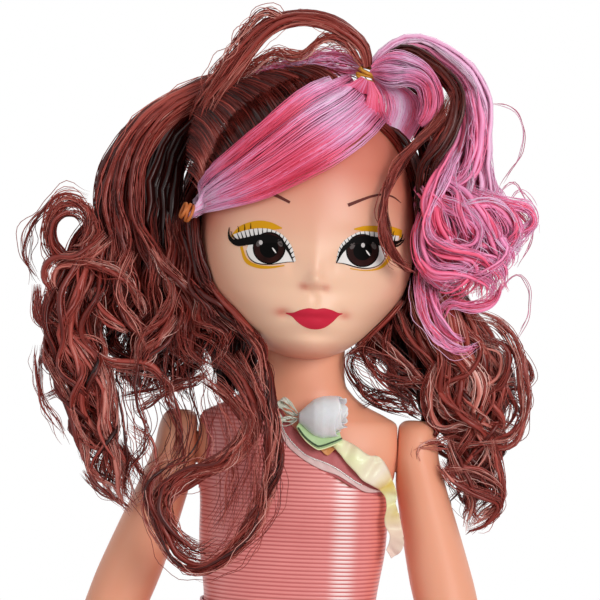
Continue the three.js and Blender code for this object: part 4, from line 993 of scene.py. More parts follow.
for name, low, high, out, tuck, material in [
    ("neckline_lining", ribs_end, lining_end, 0.45, 4.5, lining_painted_shadow),
    ("neckline_sheer_band", ribs_end, thread_line, 0.95, 1.2, sheer),
]:
    def band_point(u, v):
        spot = across_rows(low, high, u, v)
        ripple = 0.12 * math.sin(u * 70) * v
        return cloth_spot(spot[0], spot[1] + (1 - v) * tuck, out + ripple)

    form = woven(90, 8, band_point)
    band, area = cloth(name, form, material, 0.25)
    worn(band, "torso", "organza", *(["neckline_band"] if name == "neckline_sheer_band" else []))
    None if area > 0.0001 else area
rows = catmull(thread_line, np.linspace(0, 0.93, 120))
zigzag = [cloth_spot(x, y + 0.5 * (-1) ** i, 1.35) for i, (x, y) in enumerate(rows)]
edge = tube("neckline_thread", zigzag, 0.22, silver_thread)
worn(edge, "torso", "organza")

# The band goes round the back at the same height, as a plain folded edge


def back_band_point(u, v):
    turn = 0.012 + 0.54 * u
    return torso_point(turn, dress_top(turn, -0.6 + 4.6 * (1 - v)), 0.85)


form = woven(90, 5, back_band_point)
back_band, area = cloth("neckline_back_band", form, sheer, 0.3)
worn(back_band, "torso", "organza")

# A ruffle of iridescent organza is gathered to the band, from the rose down under the left arm, where it ends
# in a loose rippled tail.
tinted = new_finish("iridescent organza", "F1EDB9", "F7E3CF", roughness=0.32, amount=0.7, clouds=110,
                    grain=2600, bump=0.3,
                    Sheen_Weight=0.3, Coat_Weight=0.2, Thin_Film_Thickness=380, Thin_Film_IOR=1.4)
tree = tinted.node_tree


def ramp_of(tree, tones):
    """A colour ramp through colours at their places."""
    ramp = add(tree, "ValToRGB")
    ramp.color_ramp.elements[0].color = colour(tones[0][1])
    ramp.color_ramp.elements[1].color = colour(tones[-1][1])
    for place, code in tones[1:-1]:
        ramp.color_ramp.elements.new(place).color = colour(code)
    return ramp


along = add(tree, "UVMap")
ramp = ramp_of(tree, [
    (0, "E4E8A4"), (0.2, "EFEDB8"), (0.38, "F6E4CE"), (0.46, "E3C05C"), (0.55, "ECECB4"), (0.66, "EAD07E"),
    (0.78, "F3D6BE"), (1, "EEC6BC"),
])
slow = add(tree, "SeparateXYZ")
tree.links.new(along.outputs[0], slow.inputs[0])
tree.links.new(slow.outputs["X"], ramp.inputs["Fac"])
tree.links.new(ramp.outputs["Color"], tree.nodes["mottle"].inputs["Colour"])
ruffle_in = [(333, 446), (340, 454), (346, 462), (355.4, 472), (362.1, 479.9), (371, 485), (379, 489.5),
             (385, 497), (386, 508),
             (384, 517), (385, 526), (388.5, 532), (388, 541), (385.5, 548)]
ruffle_out = [(338, 438), (345, 440.5), (355.4, 446), (368, 455), (379, 456.5), (387, 467.5), (393.4, 483),
              (396, 494.4), (395, 503),
              (400, 512), (403, 522), (403, 538), (399, 549), (390, 555)]


def ruffle_point(u, v):
    spot = across_rows(ruffle_in, ruffle_out, u, v)
    frill = math.sin(u * 34 + 0.5) * (0.35 + 0.9 * v) + 0.5 * math.sin(u * 71 + 2) * v
    place = cloth_spot(spot[0], spot[1], 2.4 + frill + 1.6 * v * (1 - v) * 2) / MM
    reach = math.hypot(place.y, place.z - shoulder_height)
    place.x = min(place.x, 35.0 if reach < 15 else 30.6 + 0.268 * reach)
    place.y = max(place.y, -27)
    place.y = min(place.y, -15.5 + 2.4 * frill * 0.3)
    return place * MM


form = woven(150, 12, ruffle_point)
ruffle, area = cloth("neckline_ruffle_frill", form, tinted, 0.25)
worn(ruffle, "torso", "ruffle", "neckline_ruffle")

# The rose is a ready-made bud, rolled from white satin ribbon and sewn to the band. Its petals wrap round
# each other and open to the right.
white_satin = new_finish("white satin", "EFEDEE", "D3D1D6", roughness=0.36, amount=0.5, clouds=200,
                         grain=2200, bump=0.25,
                         Sheen_Weight=0.4, Subsurface_Weight=0.1, Subsurface_Scale=0.002)


def bud_sheet(name, start, wrap, size, reach, lip, shift):
    """One petal: a sheet that wraps the bud's axis from one angle on and flares at the lip."""
    rows = [(0, 4.2), (0.18, 11.5), (0.36, 18), (0.55, 20.6), (0.78, 20), (0.92, 18), (1, 16.5)]

    def place(u, v):
        t = v * reach
        high = np.interp(t, *zip(*rows)) * size
        angle = start + wrap * u
        high *= 1 + lip * max(0, v - 0.82) * 3 + 0.07 * math.sin(angle * 3 + shift) * v
        out = (0.7 + 0.9 * u) * (0.4 + 0.6 * v) + 0.25 * math.sin(angle * 4 + 4 * v + shift) * v
        edge = 1 + (0.07 * math.sin(angle * 2.3 + shift) + 0.012 * math.sin(angle * 5 + shift)) * v * v
        px = 299 + 43 * t * edge
        py = 417.5 - 3.4 * t * t - high * math.sin(angle)
        depth = -19.9 - 1.9 * t - (high * 0.345 * 0.62 + out) * math.cos(angle)
        return seen(px, py, depth)

    form = woven(56, 24, place)
    return thicken(show(name, form, white_satin), 0.3 * MM, 0)


petals = [
    bud_sheet("rose_petal_outer", -1.9, 3.4, 1.0, 0.9, 0.16, 0.4),
    bud_sheet("rose_petal_second", 0.2, 4.4, 0.94, 0.98, 0.1, 2.0),
    bud_sheet("rose_petal_third", 1.6, 5.0, 0.84, 1.04, 0.06, 3.6),
    bud_sheet("rose_petal_heart", 3.6, 6.6, 0.6, 1.06, 0.0, 5.1),
]
for petal in petals:
    worn(petal, "torso", "rose_satin", *(["satin_rose"] if petal is petals[0] else []))

# Under it lies a leaf of green satin ribbon, folded to a V, with a dark woven edge and an amber fold at its
# point.
leaf_satin = new_finish("leaf satin", "BFD9A4", "9BC27C", roughness=0.38, amount=0.6, clouds=150, grain=2400,
                        bump=0.3, Sheen_Weight=0.3)
leaf_edge = new_finish("leaf edge", "2F4A24", "1C3016", amount=0.5, clouds=600, grain=4000, bump=0.3)
leaf_pale = new_finish("leaf pale edge", "EEF1BE", "D7E3A0", roughness=0.4, amount=0.5, clouds=200,
                       grain=3000, bump=0.3)
amber_fold = new_finish("amber fold", "E39A5A", "C8763E", roughness=0.4, amount=0.6, clouds=200, grain=3000,
                        bump=0.3)
leaf_low = np.array([(296.5, 426.5), (301, 434), (307, 441), (315.5, 447.5), (321, 448.6), (332, 445),
                     (342, 440.5)])
leaf_high = np.array([(300, 421), (306, 428), (312, 432.5), (320, 435), (327, 434), (334, 430), (338, 426)])
dark_line = np.array([(298, 427.5), (305.2, 437), (315, 444.6), (320.8, 446), (333, 442), (342, 438.3)])


def between(low, high, depth):
    def place(u, v):
        spot = across_rows(low, high, u, v)
        return seen(spot[0], spot[1], depth(u, v))
    return place


for name, low, high, material, depth in [
    ("rose_leaf_ribbon", leaf_low, leaf_high, leaf_satin,
     lambda u, v: -21.2 - 1.2 * math.sin(u * math.pi) + 1.6 * v),
    ("rose_leaf_pale_edge", leaf_low + [(0, 1.3)], leaf_low, leaf_pale,
     lambda u, v: -21.4 - 1.3 * math.sin(u * math.pi)),
    ("rose_amber_fold", np.array([(320, 449), (327, 455.5), (333, 451), (338, 445)]),
     np.array([(320, 447), (327, 447), (333, 445), (338, 442)]),
     amber_fold, lambda u, v: -20.4 + 0.8 * v),
]:
    piece = thicken(show(name, woven(40, 6, between(low, high, depth)), material), 0.3 * MM, 0)
    worn(piece, "torso", "leaf_ribbon", *(["rose_leaf"] if name == "rose_leaf_ribbon" else []))
line = catmull(dark_line, np.linspace(0, 1, 50))
line = [seen(x, y, -22 - 1.2 * math.sin(i / 49 * math.pi)) for i, (x, y) in enumerate(line)]
piping = tube("rose_leaf_piping", line, 0.3, leaf_edge)
worn(piping, "torso", "leaf_ribbon")

# Beside the rose a short end of organza is crumpled into loops and knotted.
crisp = new_finish("crumpled organza", "E9EBDD", "B5B9A2", roughness=0.35, amount=0.8, clouds=420,
                   grain=2600, bump=0.5,
                   Sheen_Weight=0.4, Alpha=0.9)
loops = [
    [(297, 416, 3), (290, 408, 7), (280, 404, 8), (276, 410, 9), (281, 419, 8), (289, 422, 6), (297, 420, 3)],
    [(298, 413, 2), (291, 404, 5), (283, 399, 6), (279, 403, 7), (284, 411, 6), (292, 414, 4), (298, 415, 2)],
    [(297, 420, 2), (291, 424, 4), (284, 426, 5), (281, 422, 5), (286, 418, 4), (293, 418, 3), (298, 419, 2)],
]
for i, rows in enumerate(loops):
    def loop_point(u, v):
        x, y, width = catmull(rows, u)
        crumple = 0.9 * math.sin(u * 31 + i) * (v - 0.5) + 0.5 * math.sin(u * 57 + v * 9)
        turn = u * 4 + i
        return seen(x + width * (v - 0.5) * 0.55 * math.cos(turn),
                    y + width * (v - 0.5) * math.sin(turn) * 0.9,
                    -18.6 - i * 0.7 - width * 0.28 * (v - 0.5) + crumple * 0.6)

    loop = thicken(show(f"organza_loop_{i}", woven(60, 10, loop_point), crisp), 0.2 * MM, 0)
    worn(loop, "torso", "organza", *(["organza_loop"] if i == 0 else []))

# The skirt is a full circle of the same satin, gathered to the waist under a narrow sash, with a rolled hem.
skirt_satin = satin_finish("skirt satin", "E8787C", "D05F66", 0.5, 0.4)
plain_satin = satin_finish("sash satin", "D9646A", "B94A52", 0.45, 0.32)
skirt_rows = [(30.4, 19.6, 0, 2.4), (36.9, 26.4, 0.113, 2.4), (41.3, 36, 0.227, 2.2), (52.4, 48.5, 0.5, 2),
              (71.8, 70.8, 0.75, 2),
              (97, 97, 1, 2)]


def skirt_point(turn, v, out=0.5):
    wide, deep, down, square = catmull(skirt_rows, v)
    angle = turn * 2 * math.pi
    fold = 4 * down * (1 + math.cos(12 * angle + 0.5 * math.sin(3 * angle)) * 0.93)
    fold = fold + 0.5 * down * math.sin(31 * angle)
    fold += 0.35 * min(1, down * 8) * math.cos(60 * angle) * (1 - down)
    c, s = squared(turn, square)
    return Vector((c * (wide + out + fold), s * (deep + out + fold), 227 - down * 149.6)) * MM


for name, side, first in [("left", 1, -0.24985), ("right", -1, 0.25015)]:
    form = woven(150, 48, lambda u, v: skirt_point(u * 0.4997 + first, 1 - v))
    panel, area = cloth(f"{name}_skirt_cloth", form, skirt_satin, 0.5)
    hem_line = [skirt_point(i / 150 * 0.4997 + first, 1, 0.7) for i in range(151)]
    hem = tube(f"{name}_skirt_hem", hem_line, 0.6, plain_satin)
    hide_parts(f"{name}_skirt_panel")
    for piece in (panel, hem):
        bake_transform(piece)

form = woven(120, 6, lambda u, v: torso_point(u, 225.9 + 4.5 * v, 1.45 + 0.15 * math.sin(v * math.pi)))
sash, area = cloth("waist_sash_cloth", form, plain_satin, 0.6)
worn(sash, "torso", "satin", "waist_sash")

# The briefs are thin white knit with a turned hem at the waist and at each leg.
white_knit = new_finish("white knit", "F2F0EC", "DFDBD4", roughness=0.8, amount=0.4, clouds=200, grain=2400,
                        bump=0.5)
form = woven(120, 30, lambda u, v: torso_point(u, 184.6 + 36 * v, 0.15))
briefs = cut(thicken(show("briefs_knit", form, white_knit), 0.55 * MM), legs_room(0.8))
area = sum(p.area for p in briefs.data.polygons) / 2
worn(briefs, "torso", "white_cloth", "briefs")

# The hair is nylon filament rooted through the scalp in rows, in plugs, over a dark painted cap.
# It is combed back from the hairline.
def seen_rows(rows):
    """Rows of pixel x, pixel y and depth in millimetres, as places in millimetres."""
    px, py, depth = np.moveaxis(np.asarray(rows, float), -1, 0)
    x, z = sight(px, py, depth)
    return np.stack([x / MM, depth, z / MM], -1)


def evened(spots, count=80):
    """A curve through rows of numbers, read again at even distances."""
    fine = catmull(spots, np.linspace(0, 1, 300))
    far = np.concatenate([[0], np.cumsum(np.linalg.norm(np.diff(fine, axis=0), axis=1))])
    even = np.linspace(0, far[-1], count)
    return np.stack([np.interp(even, far, fine[:, i]) for i in range(fine.shape[1])], -1)


head_inverse = np.array(turned_head.inverted())
head_forward = np.array(turned_head)


def clear_of_head(spots, margin):
    """Moves places out of the head, to so many millimetres off it."""
    own = spots @ head_inverse[:3, :3].T + head_inverse[:3, 3]
    far = head_reach(own)
    wanted = 1 + margin / 38
    own = own * np.where(far < wanted, wanted / np.maximum(far, 0.3), 1)[..., None]
    return own @ head_forward[:3, :3].T + head_forward[:3, 3]


def clear_of_body(spots, margin):
    """Moves places out of the torso and the two arms, to so many millimetres off them."""
    x, y, z = spots[..., 0], spots[..., 1].copy(), spots[..., 2]
    wide, deep, square = torso_sizes(z)
    wide, deep = wide + margin, deep + margin
    inner = np.clip(1 - (np.abs(x) / wide) ** square, 0, 1) ** (1 / square) * deep
    side = np.where(y < 2, -1, 1)
    inside = (np.abs(y) < inner) & (z < 323) & (z > 184)
    y = np.where(inside, side * inner, y)
    for arm, splay in ((1, left_splay), (-1, right_splay)):
        down = np.clip(shoulder_height - z, 0, 150)
        middle = arm * (shoulder_out + arm_inset + down * math.tan(math.radians(splay)))
        share = down / arm_length
        radius = np.interp(share, [r[0] for r in arm_rows],
                           [r[1] for r in arm_rows]) * arm_radius + 0.6 + margin
        reach = np.sqrt(np.clip(radius**2 - (x - middle) ** 2 - np.clip(z - 284, 0, 20) ** 2, 0, None))
        forward = -np.interp(share, [r[0] for r in arm_rows], [r[3] for r in arm_rows]) * arm_length
        inside = np.abs(y - forward) < reach
        y = np.where(inside, forward + np.where(y < forward + 3, -1, 1) * reach, y)
    return np.stack([x, y, z], -1)


def joined(name, pieces):
    """Several pieces as one."""
    with bpy.context.temp_override(active_object=pieces[0], selected_editable_objects=pieces):
        bpy.ops.object.join()
    pieces[0].name = name
    return pieces[0]


def drawn_hair(name, spots, sizes, tones, material, corners=(1, 1, 1)):
    """Fibres along rows of places in millimetres, with a tone for each place, as one mesh. The corners are
    the distances of a section's corners from its middle; more than three make a lock, striped along."""
    line = bpy.data.curves.new(name, "CURVE")
    line.dimensions = "3D"
    profile = bpy.data.curves.new("profile", "CURVE")
    ring = profile.splines.new("POLY")
    ring.points.add(len(corners) - 1)
    ring.use_cyclic_u = True
    for i, (point, far) in enumerate(zip(ring.points, corners)):
        angle = i * math.tau / len(corners)
        point.co = (far * MM * math.cos(angle), far * MM * math.sin(angle), 0, 1)
    profile_piece = bpy.data.objects.new("profile", profile)
    scene.collection.objects.link(profile_piece)
    line.bevel_mode = "OBJECT"
    line.bevel_object = profile_piece
    line.use_fill_caps = False
    count, steps = spots.shape[:2]
    flat = np.concatenate([spots * MM, np.ones((count, steps, 1))], -1).astype(np.float32)
    for i in range(count):
        fibre = line.splines.new("POLY")
        fibre.points.add(steps - 1)
        fibre.points.foreach_set("co", flat[i].ravel())
        fibre.points.foreach_set("radius", sizes[i].astype(np.float32))
    piece = bpy.data.objects.new(name, line)
    scene.collection.objects.link(piece)
    graph = bpy.context.evaluated_depsgraph_get()
    graph.update()
    mesh = bpy.data.meshes.new_from_object(piece.evaluated_get(graph))
    for spare in (piece, profile_piece):
        bpy.data.objects.remove(spare)
    tone = mesh.attributes.new("tone", "FLOAT", "POINT")
    stripes = np.random.default_rng(count).normal(0, 0.06, (count, 1, len(corners))) * (len(corners) > 3)
    tone.data.foreach_set("value", np.clip(tones[..., None] + stripes, 0, 1).ravel().astype(np.float32))
    return as_piece(name, mesh, material)


def fibre_finish(name, tones):
    """Nylon filament: its colour from the fibre's own tone, with a fine grain and a soft gloss."""
    material = new_finish(name, "FFFFFF", "E8DADA", roughness=0.25, amount=0.5, clouds=260, grain=5000,
                          Specular_IOR_Level=0.28)
    tree = material.node_tree
    link = tree.links.new
    read = add(tree, "Attribute", attribute_name="tone")
    ramp = ramp_of(tree, tones)
    # Fine streaks along each lock, from its own UV map: u runs along it and v round it
    map_read = add(tree, "UVMap", uv_map="UVMap")
    stretch = add(tree, "Mapping", {"Scale": (5, 34, 1)})
    streaks = add(tree, "TexNoise", {"Scale": 1, "Detail": 2})
    span = add(tree, "MapRange", {"From Min": 0.25, "From Max": 0.75, "To Min": -0.14, "To Max": 0.14})
    total = add(tree, "Math")
    link(map_read.outputs["UV"], stretch.inputs["Vector"])
    link(stretch.outputs["Vector"], streaks.inputs["Vector"])
    link(streaks.outputs["Fac"], span.inputs["Value"])
    link(span.outputs["Result"], total.inputs[0])
    link(read.outputs["Fac"], total.inputs[1])
    link(total.outputs["Value"], ramp.inputs["Fac"])
    link(ramp.outputs["Color"], tree.nodes["mottle"].inputs["Colour"])
    darker = add(tree, "Mix", {"Factor": 0.12}, data_type="RGBA", blend_type="MULTIPLY")
    link(ramp.outputs["Color"], darker.inputs[6])
    link(ramp.outputs["Color"], darker.inputs[7])
    link(darker.outputs[2], tree.nodes["mottle"].inputs["Shade"])
    return material


brown_fibre = fibre_finish(
    "brown nylon", [(0, "220605"), (0.3, "671E17"), (0.6, "AA463C"), (0.85, "DE8C7E"), (1, "FBD0C6")],
)
pink_fibre = fibre_finish(
    "pink nylon", [(0, "E2405E"), (0.3, "FF6C92"), (0.6, "FFA0CE"), (0.85, "FFC8EE"), (1, "FFE2F8")],
)
lilac_fibre = fibre_finish(
    "lilac nylon", [(0, "CC5C82"), (0.35, "FC9EC4"), (0.7, "FFCBEC"), (1, "FFE8F8")],
)


def tress(name, rails, thick, count, steps, material, clumps=24, tight=1.0, curl=(0, 0), start=0.15, wave=17,
          ends=(0.8, 1),
          frizz=0.2, size=0.17, tone=(0.35, 0.75), tint=None, lifted=False, world=False, margin=(0.3, 2),
          seed=1,
          stray=0.03, body=True, locks=0, bulk=1.1, root=0.0, beyond=-9):
    """A lock of fibres between rails. Rails are rows of pixel x, pixel y and depth, or height off the head if
    lifted; thick is half the lock's depth along it; curl is the radius of its curls at the start and the end.
    So many thicker locks of that bulk run among the fibres. Root is the share of their length over which
    they thicken. Past the head's edge a lifted lock lies at the depth beyond."""
    rng = np.random.default_rng(seed)
    paths = [evened(rows) for rows in (rails if lifted or world else [seen_rows(r) for r in rails])]
    paths = np.array(paths)
    last = paths.shape[1] - 1
    middle = paths.mean(0)
    long = np.linalg.norm(np.diff(middle, axis=0), axis=1).sum() * (0.345 if lifted else 1)
    way = np.gradient(middle, axis=0)
    way /= np.linalg.norm(way, axis=1)[:, None]
    across = paths[-1] - paths[0]
    if lifted:
        deep = np.tile([0, 0, 1.0], (last + 1, 1))
    else:
        deep = np.cross(across, way)
        deep /= np.maximum(np.linalg.norm(deep, axis=1), 1e-6)[:, None]
    thickness = np.interp(np.linspace(0, 1, last + 1), np.linspace(0, 1, len(thick)), thick)

    fibres = count
    count = count + locks
    whole = np.arange(count) >= fibres
    group = np.where(whole, np.arange(count) % clumps, rng.integers(0, clumps, count))
    spin, far = rng.uniform(0, 2 * np.pi, clumps), np.sqrt(rng.uniform(0, 1, clumps))
    loose = (rng.random(count) < stray) & ~whole
    near = 0.62 / math.sqrt(clumps) * tight
    places = np.linspace(0, 1, steps)
    if curl[1] > 1.5 and start > 0.2:
        places = np.interp(places, np.interp([0, start, 1], [0, start, 1], [0, start * 0.6, 1]),
                           [0, start, 1])
    share = places[None] * rng.uniform(*ends, count)[:, None]
    narrow = 1 - 0.35 * share
    grown = np.where(loose, 3.2, 1)[:, None]
    v = 0.5 + 0.47 * (far * np.cos(spin))[group][:, None]
    v = v + rng.normal(0, near * 0.5, count)[:, None] * narrow * grown
    w = 0.94 * (far * np.sin(spin))[group][:, None] + rng.normal(0, near, count)[:, None] * narrow * grown
    v, w = np.clip(v, -0.12, 1.12), np.clip(w, -1.3, 1.3)
    place = share * last
    low = np.clip(np.floor(place).astype(int), 0, last - 1)
    part = (place - low)[..., None]
    cell = np.clip(v, 0, 1) * (len(paths) - 1)
    left = np.clip(np.floor(cell).astype(int), 0, len(paths) - 2)
    side = (v * (len(paths) - 1) - left)[..., None]

    def along(rows):
        return rows[low] * (1 - part) + rows[low + 1] * part

    def on_rail(index):
        return paths[index, low] * (1 - part) + paths[index, low + 1] * part

    spots = on_rail(left) * (1 - side) + on_rail(left + 1) * side
    spots = spots + along(deep) * (w * along(thickness[:, None])[..., 0])[..., None]
    if lifted:
        flat = spots.reshape(-1, 3)
        spots = np.array([tuple(on_head(px, py, max(0.2, lift), beyond) / MM) for px, py, lift in flat])
        spots = spots.reshape(count, steps, 3)
        way = np.gradient(spots, axis=1)
        forward = way / np.maximum(np.linalg.norm(way, axis=2), 1e-6)[..., None]
    else:
        forward = along(way)
    first = np.cross(forward, [0, 1.0, 0.15])
    first /= np.maximum(np.linalg.norm(first, axis=2), 1e-6)[..., None]
    second = np.cross(first, forward)

    run = share * long
    rise = np.clip((share - start) / max(1 - start, 1e-3), 0, 1)
    rise = rise * rise * (3 - 2 * rise)
    radius = (curl[0] + (curl[1] - curl[0]) * rise) * rng.uniform(0.65, 1.2, clumps)[group][:, None]
    radius = radius * rng.normal(1, 0.1, count)[:, None]
    turn = rng.choice([-1, 1], clumps) * 2 * np.pi / (wave * rng.uniform(0.8, 1.25, clumps))
    angle = rng.uniform(0, 2 * np.pi, clumps)[group][:, None] + rng.normal(0, 0.22, count)[:, None]
    angle = angle + turn[group][:, None] * run
    spots = spots + first * (radius * np.cos(angle))[..., None] + second * (radius * np.sin(angle))[..., None]
    for pitch, much in ((23, 1.0), (10, 0.5)):
        for direction in (first, second):
            phase, apart = rng.uniform(0, 2 * np.pi, count)[:, None], rng.uniform(0.8, 1.25, count)[:, None]
            ripple = np.sin(run / pitch * 2 * np.pi * apart + phase) - np.sin(phase)
            much_here = frizz * much * np.where(loose, 3.5, 1)[:, None]
            spots = spots + direction * (much_here * ripple * np.clip(share * 6, 0, 1))[..., None]
    spots = clear_of_head(spots, rng.uniform(*margin, count)[:, None] * np.ones_like(share))
    if body:
        spots = clear_of_body(spots, rng.uniform(1.6, 4.5, count)[:, None] * np.ones_like(share))

    shade = rng.uniform(*tone, clumps)[group][:, None] + rng.normal(0, 0.1, count)[:, None]
    # Painted highlight: each curl is lighter on one side of its turn, as on its lit crests
    shade = shade + (0.12 * np.sin(angle) * np.clip(radius / 2, 0, 1)) + np.where(loose, 0.08, 0)[:, None]
    if tint:
        shade = shade + tint(share, v)
    taper = np.clip((share[:, -1:] - share) / 0.12, 0, 1) * 0.65 + 0.35
    if root:
        taper = taper * np.clip(share / root, 0.08, 1)
    sizes = size * rng.uniform(0.75, 1.15, count)[:, None] * taper * np.ones_like(share)
    fine = drawn_hair(name, spots[:fibres], sizes[:fibres], shade[:fibres], material)
    if not locks:
        return fine
    full = np.clip(share[fibres:] / max(root * 1.6, 0.12), 0.02 if root else 0.3, 1)
    full = full * np.clip((share[fibres:, -1:] - share[fibres:]) / 0.3, 0, 1) ** 0.6
    swell = 1 + 0.22 * np.sin(run[fibres:] / 7 + rng.uniform(0, 6, (locks, 1)))
    bulks = bulk * rng.uniform(0.65, 1.15, (locks, 1)) * (full * swell * 0.95 + 0.05)
    corners = (1, 0.8, 1.05, 0.78, 0.95, 0.75, 1.1)
    thick_ones = drawn_hair(name, spots[fibres:], bulks, shade[fibres:] * 0.85 - 0.07, material, corners)
    return joined(name, [fine, thick_ones])


def on_top(piece, *stands_for, slot="hair_brown"):
    """Hair that turns with the head from root to end."""
    worn(piece, "head", slot, *stands_for)


def hanging(piece, *stands_for, slot="hair_brown", high=0.345, low=0.292):
    """Hair that hangs past the neck, fixed in place where it is."""
    if stands_for:
        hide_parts(*stands_for)
    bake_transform(piece)


cap_vinyl = new_finish("painted cap", "34171A", "1E0C0D", roughness=0.6, amount=0.5, clouds=90, grain=2600,
                       bump=0.5)
cap = bmesh.new()
bmesh.ops.create_uvsphere(cap, u_segments=120, v_segments=80, radius=1)
for vert in cap.verts:
    vert.co = on_egg(vert.co) * 1.022
hairline = [(205, 203), (212, 185), (230, 170), (250, 158), (275, 143), (300, 130), (330, 117), (352, 108),
            (375, 112), (398, 124), (409, 145),
            (415, 175), (417, 230)]
hairline_own = [turned_head.inverted() @ (on_head(x, y, 0, -6) / MM) for x, y in hairline]
line_x = np.array([p.x for p in hairline_own])
line_z = np.array([p.z for p in hairline_own])
order = np.argsort(line_x)
hidden = []
for f in cap.faces:
    c = f.calc_center_median()
    edge = np.interp(c.x, line_x[order], line_z[order])
    behind = c.y > -4 and c.z > -12 - 0.55 * c.y
    front = c.y <= -4 and c.z > edge + 1.2 and abs(c.x) < 39
    if not (behind or front):
        hidden.append(f)
bmesh.ops.delete(cap, geom=hidden, context="FACES")
bmesh.ops.transform(cap, matrix=Matrix.Scale(MM, 4) @ turned_head, verts=cap.verts)
cap_piece = thicken(show("painted_cap", cap, cap_vinyl), 0.3 * MM)
on_top(cap_piece, "hair_scalp_layer")

# Combed rows over the cap: from the parting above the fringe back over the left, and over the crown
scalp = tress(
    "combed_front_hair",
    [[(356, 98, 0.8), (350, 84, 3), (343, 74, 3.2), (330, 66, 2), (312, 62, 1)],
     [(322, 112, 0.8), (313, 94, 3), (300, 82, 3.4), (283, 74, 2), (264, 70, 1)],
     [(275, 142, 0.8), (264, 120, 3), (250, 104, 3.6), (234, 92, 2.2), (218, 86, 1)],
     [(236, 170, 0.8), (225, 150, 3), (215, 132, 3.8), (205, 118, 2.6), (194, 110, 1)],
     [(214, 190, 0.8), (208, 174, 3), (203, 158, 4), (196, 146, 2.6), (186, 138, 1)],
     [(206, 205, 0.8), (202, 198, 2.4), (199, 190, 3.2), (193, 182, 2.4), (184, 176, 1)]],
    [0.5, 1, 1.2, 1, 0.6], 760, 12, brown_fibre, clumps=110, tight=1.1, frizz=0.1, size=0.22,
    tone=(0.02, 0.34), lifted=True, seed=11, ends=(0.9, 1), body=False,
    locks=60, bulk=0.5,
    # Painted highlight across the middle of the combed rows, stronger towards the temple; darker at the roots
    tint=lambda t, v: ((0.16 + 0.4 * np.clip((v - 0.45) * 3, 0, 1)) * np.exp(-(((t - 0.5) / 0.17) ** 2))
                       - 0.12 * (t < 0.12)),
)
on_top(scalp)


def over_crown(name, starts, ends, count, seed):
    """Hair combed over the head between two rows of places, given as directions from the head's centre."""
    rng = np.random.default_rng(seed)
    pick = rng.random(count)
    a, b = catmull(starts, pick), catmull(ends, np.clip(pick + rng.normal(0, 0.015, count), 0, 1))
    t = np.linspace(0, 1, 12)[None, :, None]
    way = a[:, None] * (1 - t) + b[:, None] * t
    way = way / np.linalg.norm(way, axis=2)[..., None]
    way = way * 40
    far = head_reach(way)
    high = rng.uniform(0.5, 2.2, count)[:, None]
    own = way * ((1 + high / 40) / far)[..., None]
    wave = rng.normal(0, 0.5, (count, 1, 3)) * np.sin(t * 7 + rng.uniform(0, 6, (count, 1, 1)))
    spots = (own + wave * 0.6) @ head_forward[:3, :3].T + head_forward[:3, 3]
    shade = rng.uniform(0.15, 0.5, count) + 0.12 * np.sin(pick * 90) + rng.normal(0, 0.07, count)
    shade = np.clip(shade[:, None], 0, 1)
    sizes = 0.41 * rng.uniform(0.8, 1.15, count)[:, None] * np.ones((count, 12))
    return drawn_hair(name, spots, sizes, shade * np.ones((count, 12)), brown_fibre)


for name, side in [("left", 1), ("right", -1)]:
    crown = over_crown(
        f"combed_{name}_crown",
        [(side * 0.02, -0.55, 1), (side * 0.02, -0.1, 1.1), (side * 0.02, 0.5, 0.9), (side * 0.02, 1, 0.3),
         (side * 0.02, 1, -0.3), (side * 0.02, 0.85, -0.75)],
        [(side * 1, -0.12, 0.75), (side * 1, 0.05, 0.35), (side * 1, 0.2, 0.0), (side * 1, 0.3, -0.3),
         (side * 0.9, 0.45, -0.6), (side * 0.7, 0.6, -0.9)],
        480, 20 + side,
    )
    on_top(crown)

# The fringe is pink, drawn from the top elastic across the forehead to the elastic at the right temple.
fringe = tress(
    "pink_fringe",
    [[(362, 77, 6), (352, 84, 6), (330, 90, 5), (300, 103, 4), (250, 143, 3), (215, 172, 2.5),
      (203, 194, 2.5), (191, 212, 3)],
     [(367, 80, 6), (362, 92, 6), (345, 112, 5), (310, 134, 4), (265, 166, 3), (232, 187, 2.5),
      (208, 203, 2.5), (189, 215, 3)],
     [(373, 82, 5), (384, 104, 4), (379, 130, 3.4), (352, 158, 3), (305, 186, 2.6), (262, 204, 2.2),
      (222, 213, 2.4), (188, 219, 3)]],
    [1.6, 2.2, 2.4, 2.2, 1.8, 1.5], 720, 17, pink_fibre, clumps=60, tight=1.2, curl=(0, 0.2), frizz=0.12,
    size=0.205, tone=(0.2, 0.5),
    # Painted highlight: a light band near the top elastic; darker along the middle and the lower edge,
    # lighter at the temple end
    tint=lambda t, v: (
        0.5 * np.exp(-(((t - 0.2 - 0.1 * v) / 0.11) ** 2)) + 0.5 * np.clip((t - 0.68) * 5, 0, 1)
        - 0.1 * np.exp(-(((t - 0.52) / 0.14) ** 2)) - 0.25 * np.clip(v - 0.5, 0, 1) * (t < 0.8)
    ),
    lifted=True, seed=31, ends=(0.97, 1), margin=(0.6, 2), body=False, stray=0, beyond=-18,
)
on_top(fringe, "hair_fringe", slot="hair_pink")

bunch = tress(
    "pink_top_bunch",
    [[(374, 130, 1.2), (377, 108, 4), (377, 92, 7), (371, 78, 8)],
     [(395, 130, 1.2), (402, 108, 4.5), (396, 92, 8), (373, 76, 9)],
     [(410, 140, 1.2), (421, 118, 5), (416, 95, 8), (378, 73, 9)]],
    [1, 2.4, 3, 1.5], 420, 12, pink_fibre, clumps=40, tight=1.2, frizz=0.14, size=0.19, tone=(0.45, 0.7),
    # Painted highlight: an upright light band down the middle of the bunch, fading towards the elastic
    tint=lambda t, v: 0.5 * np.exp(-(((v - 0.5) / 0.16) ** 2)) * np.clip(1.4 - t, 0, 1) - 0.1, lifted=True,
    seed=32, ends=(0.97, 1), margin=(0.6, 3), body=False, stray=0.01,
)
on_top(bunch, "hair_top_bunch", slot="hair_pink")

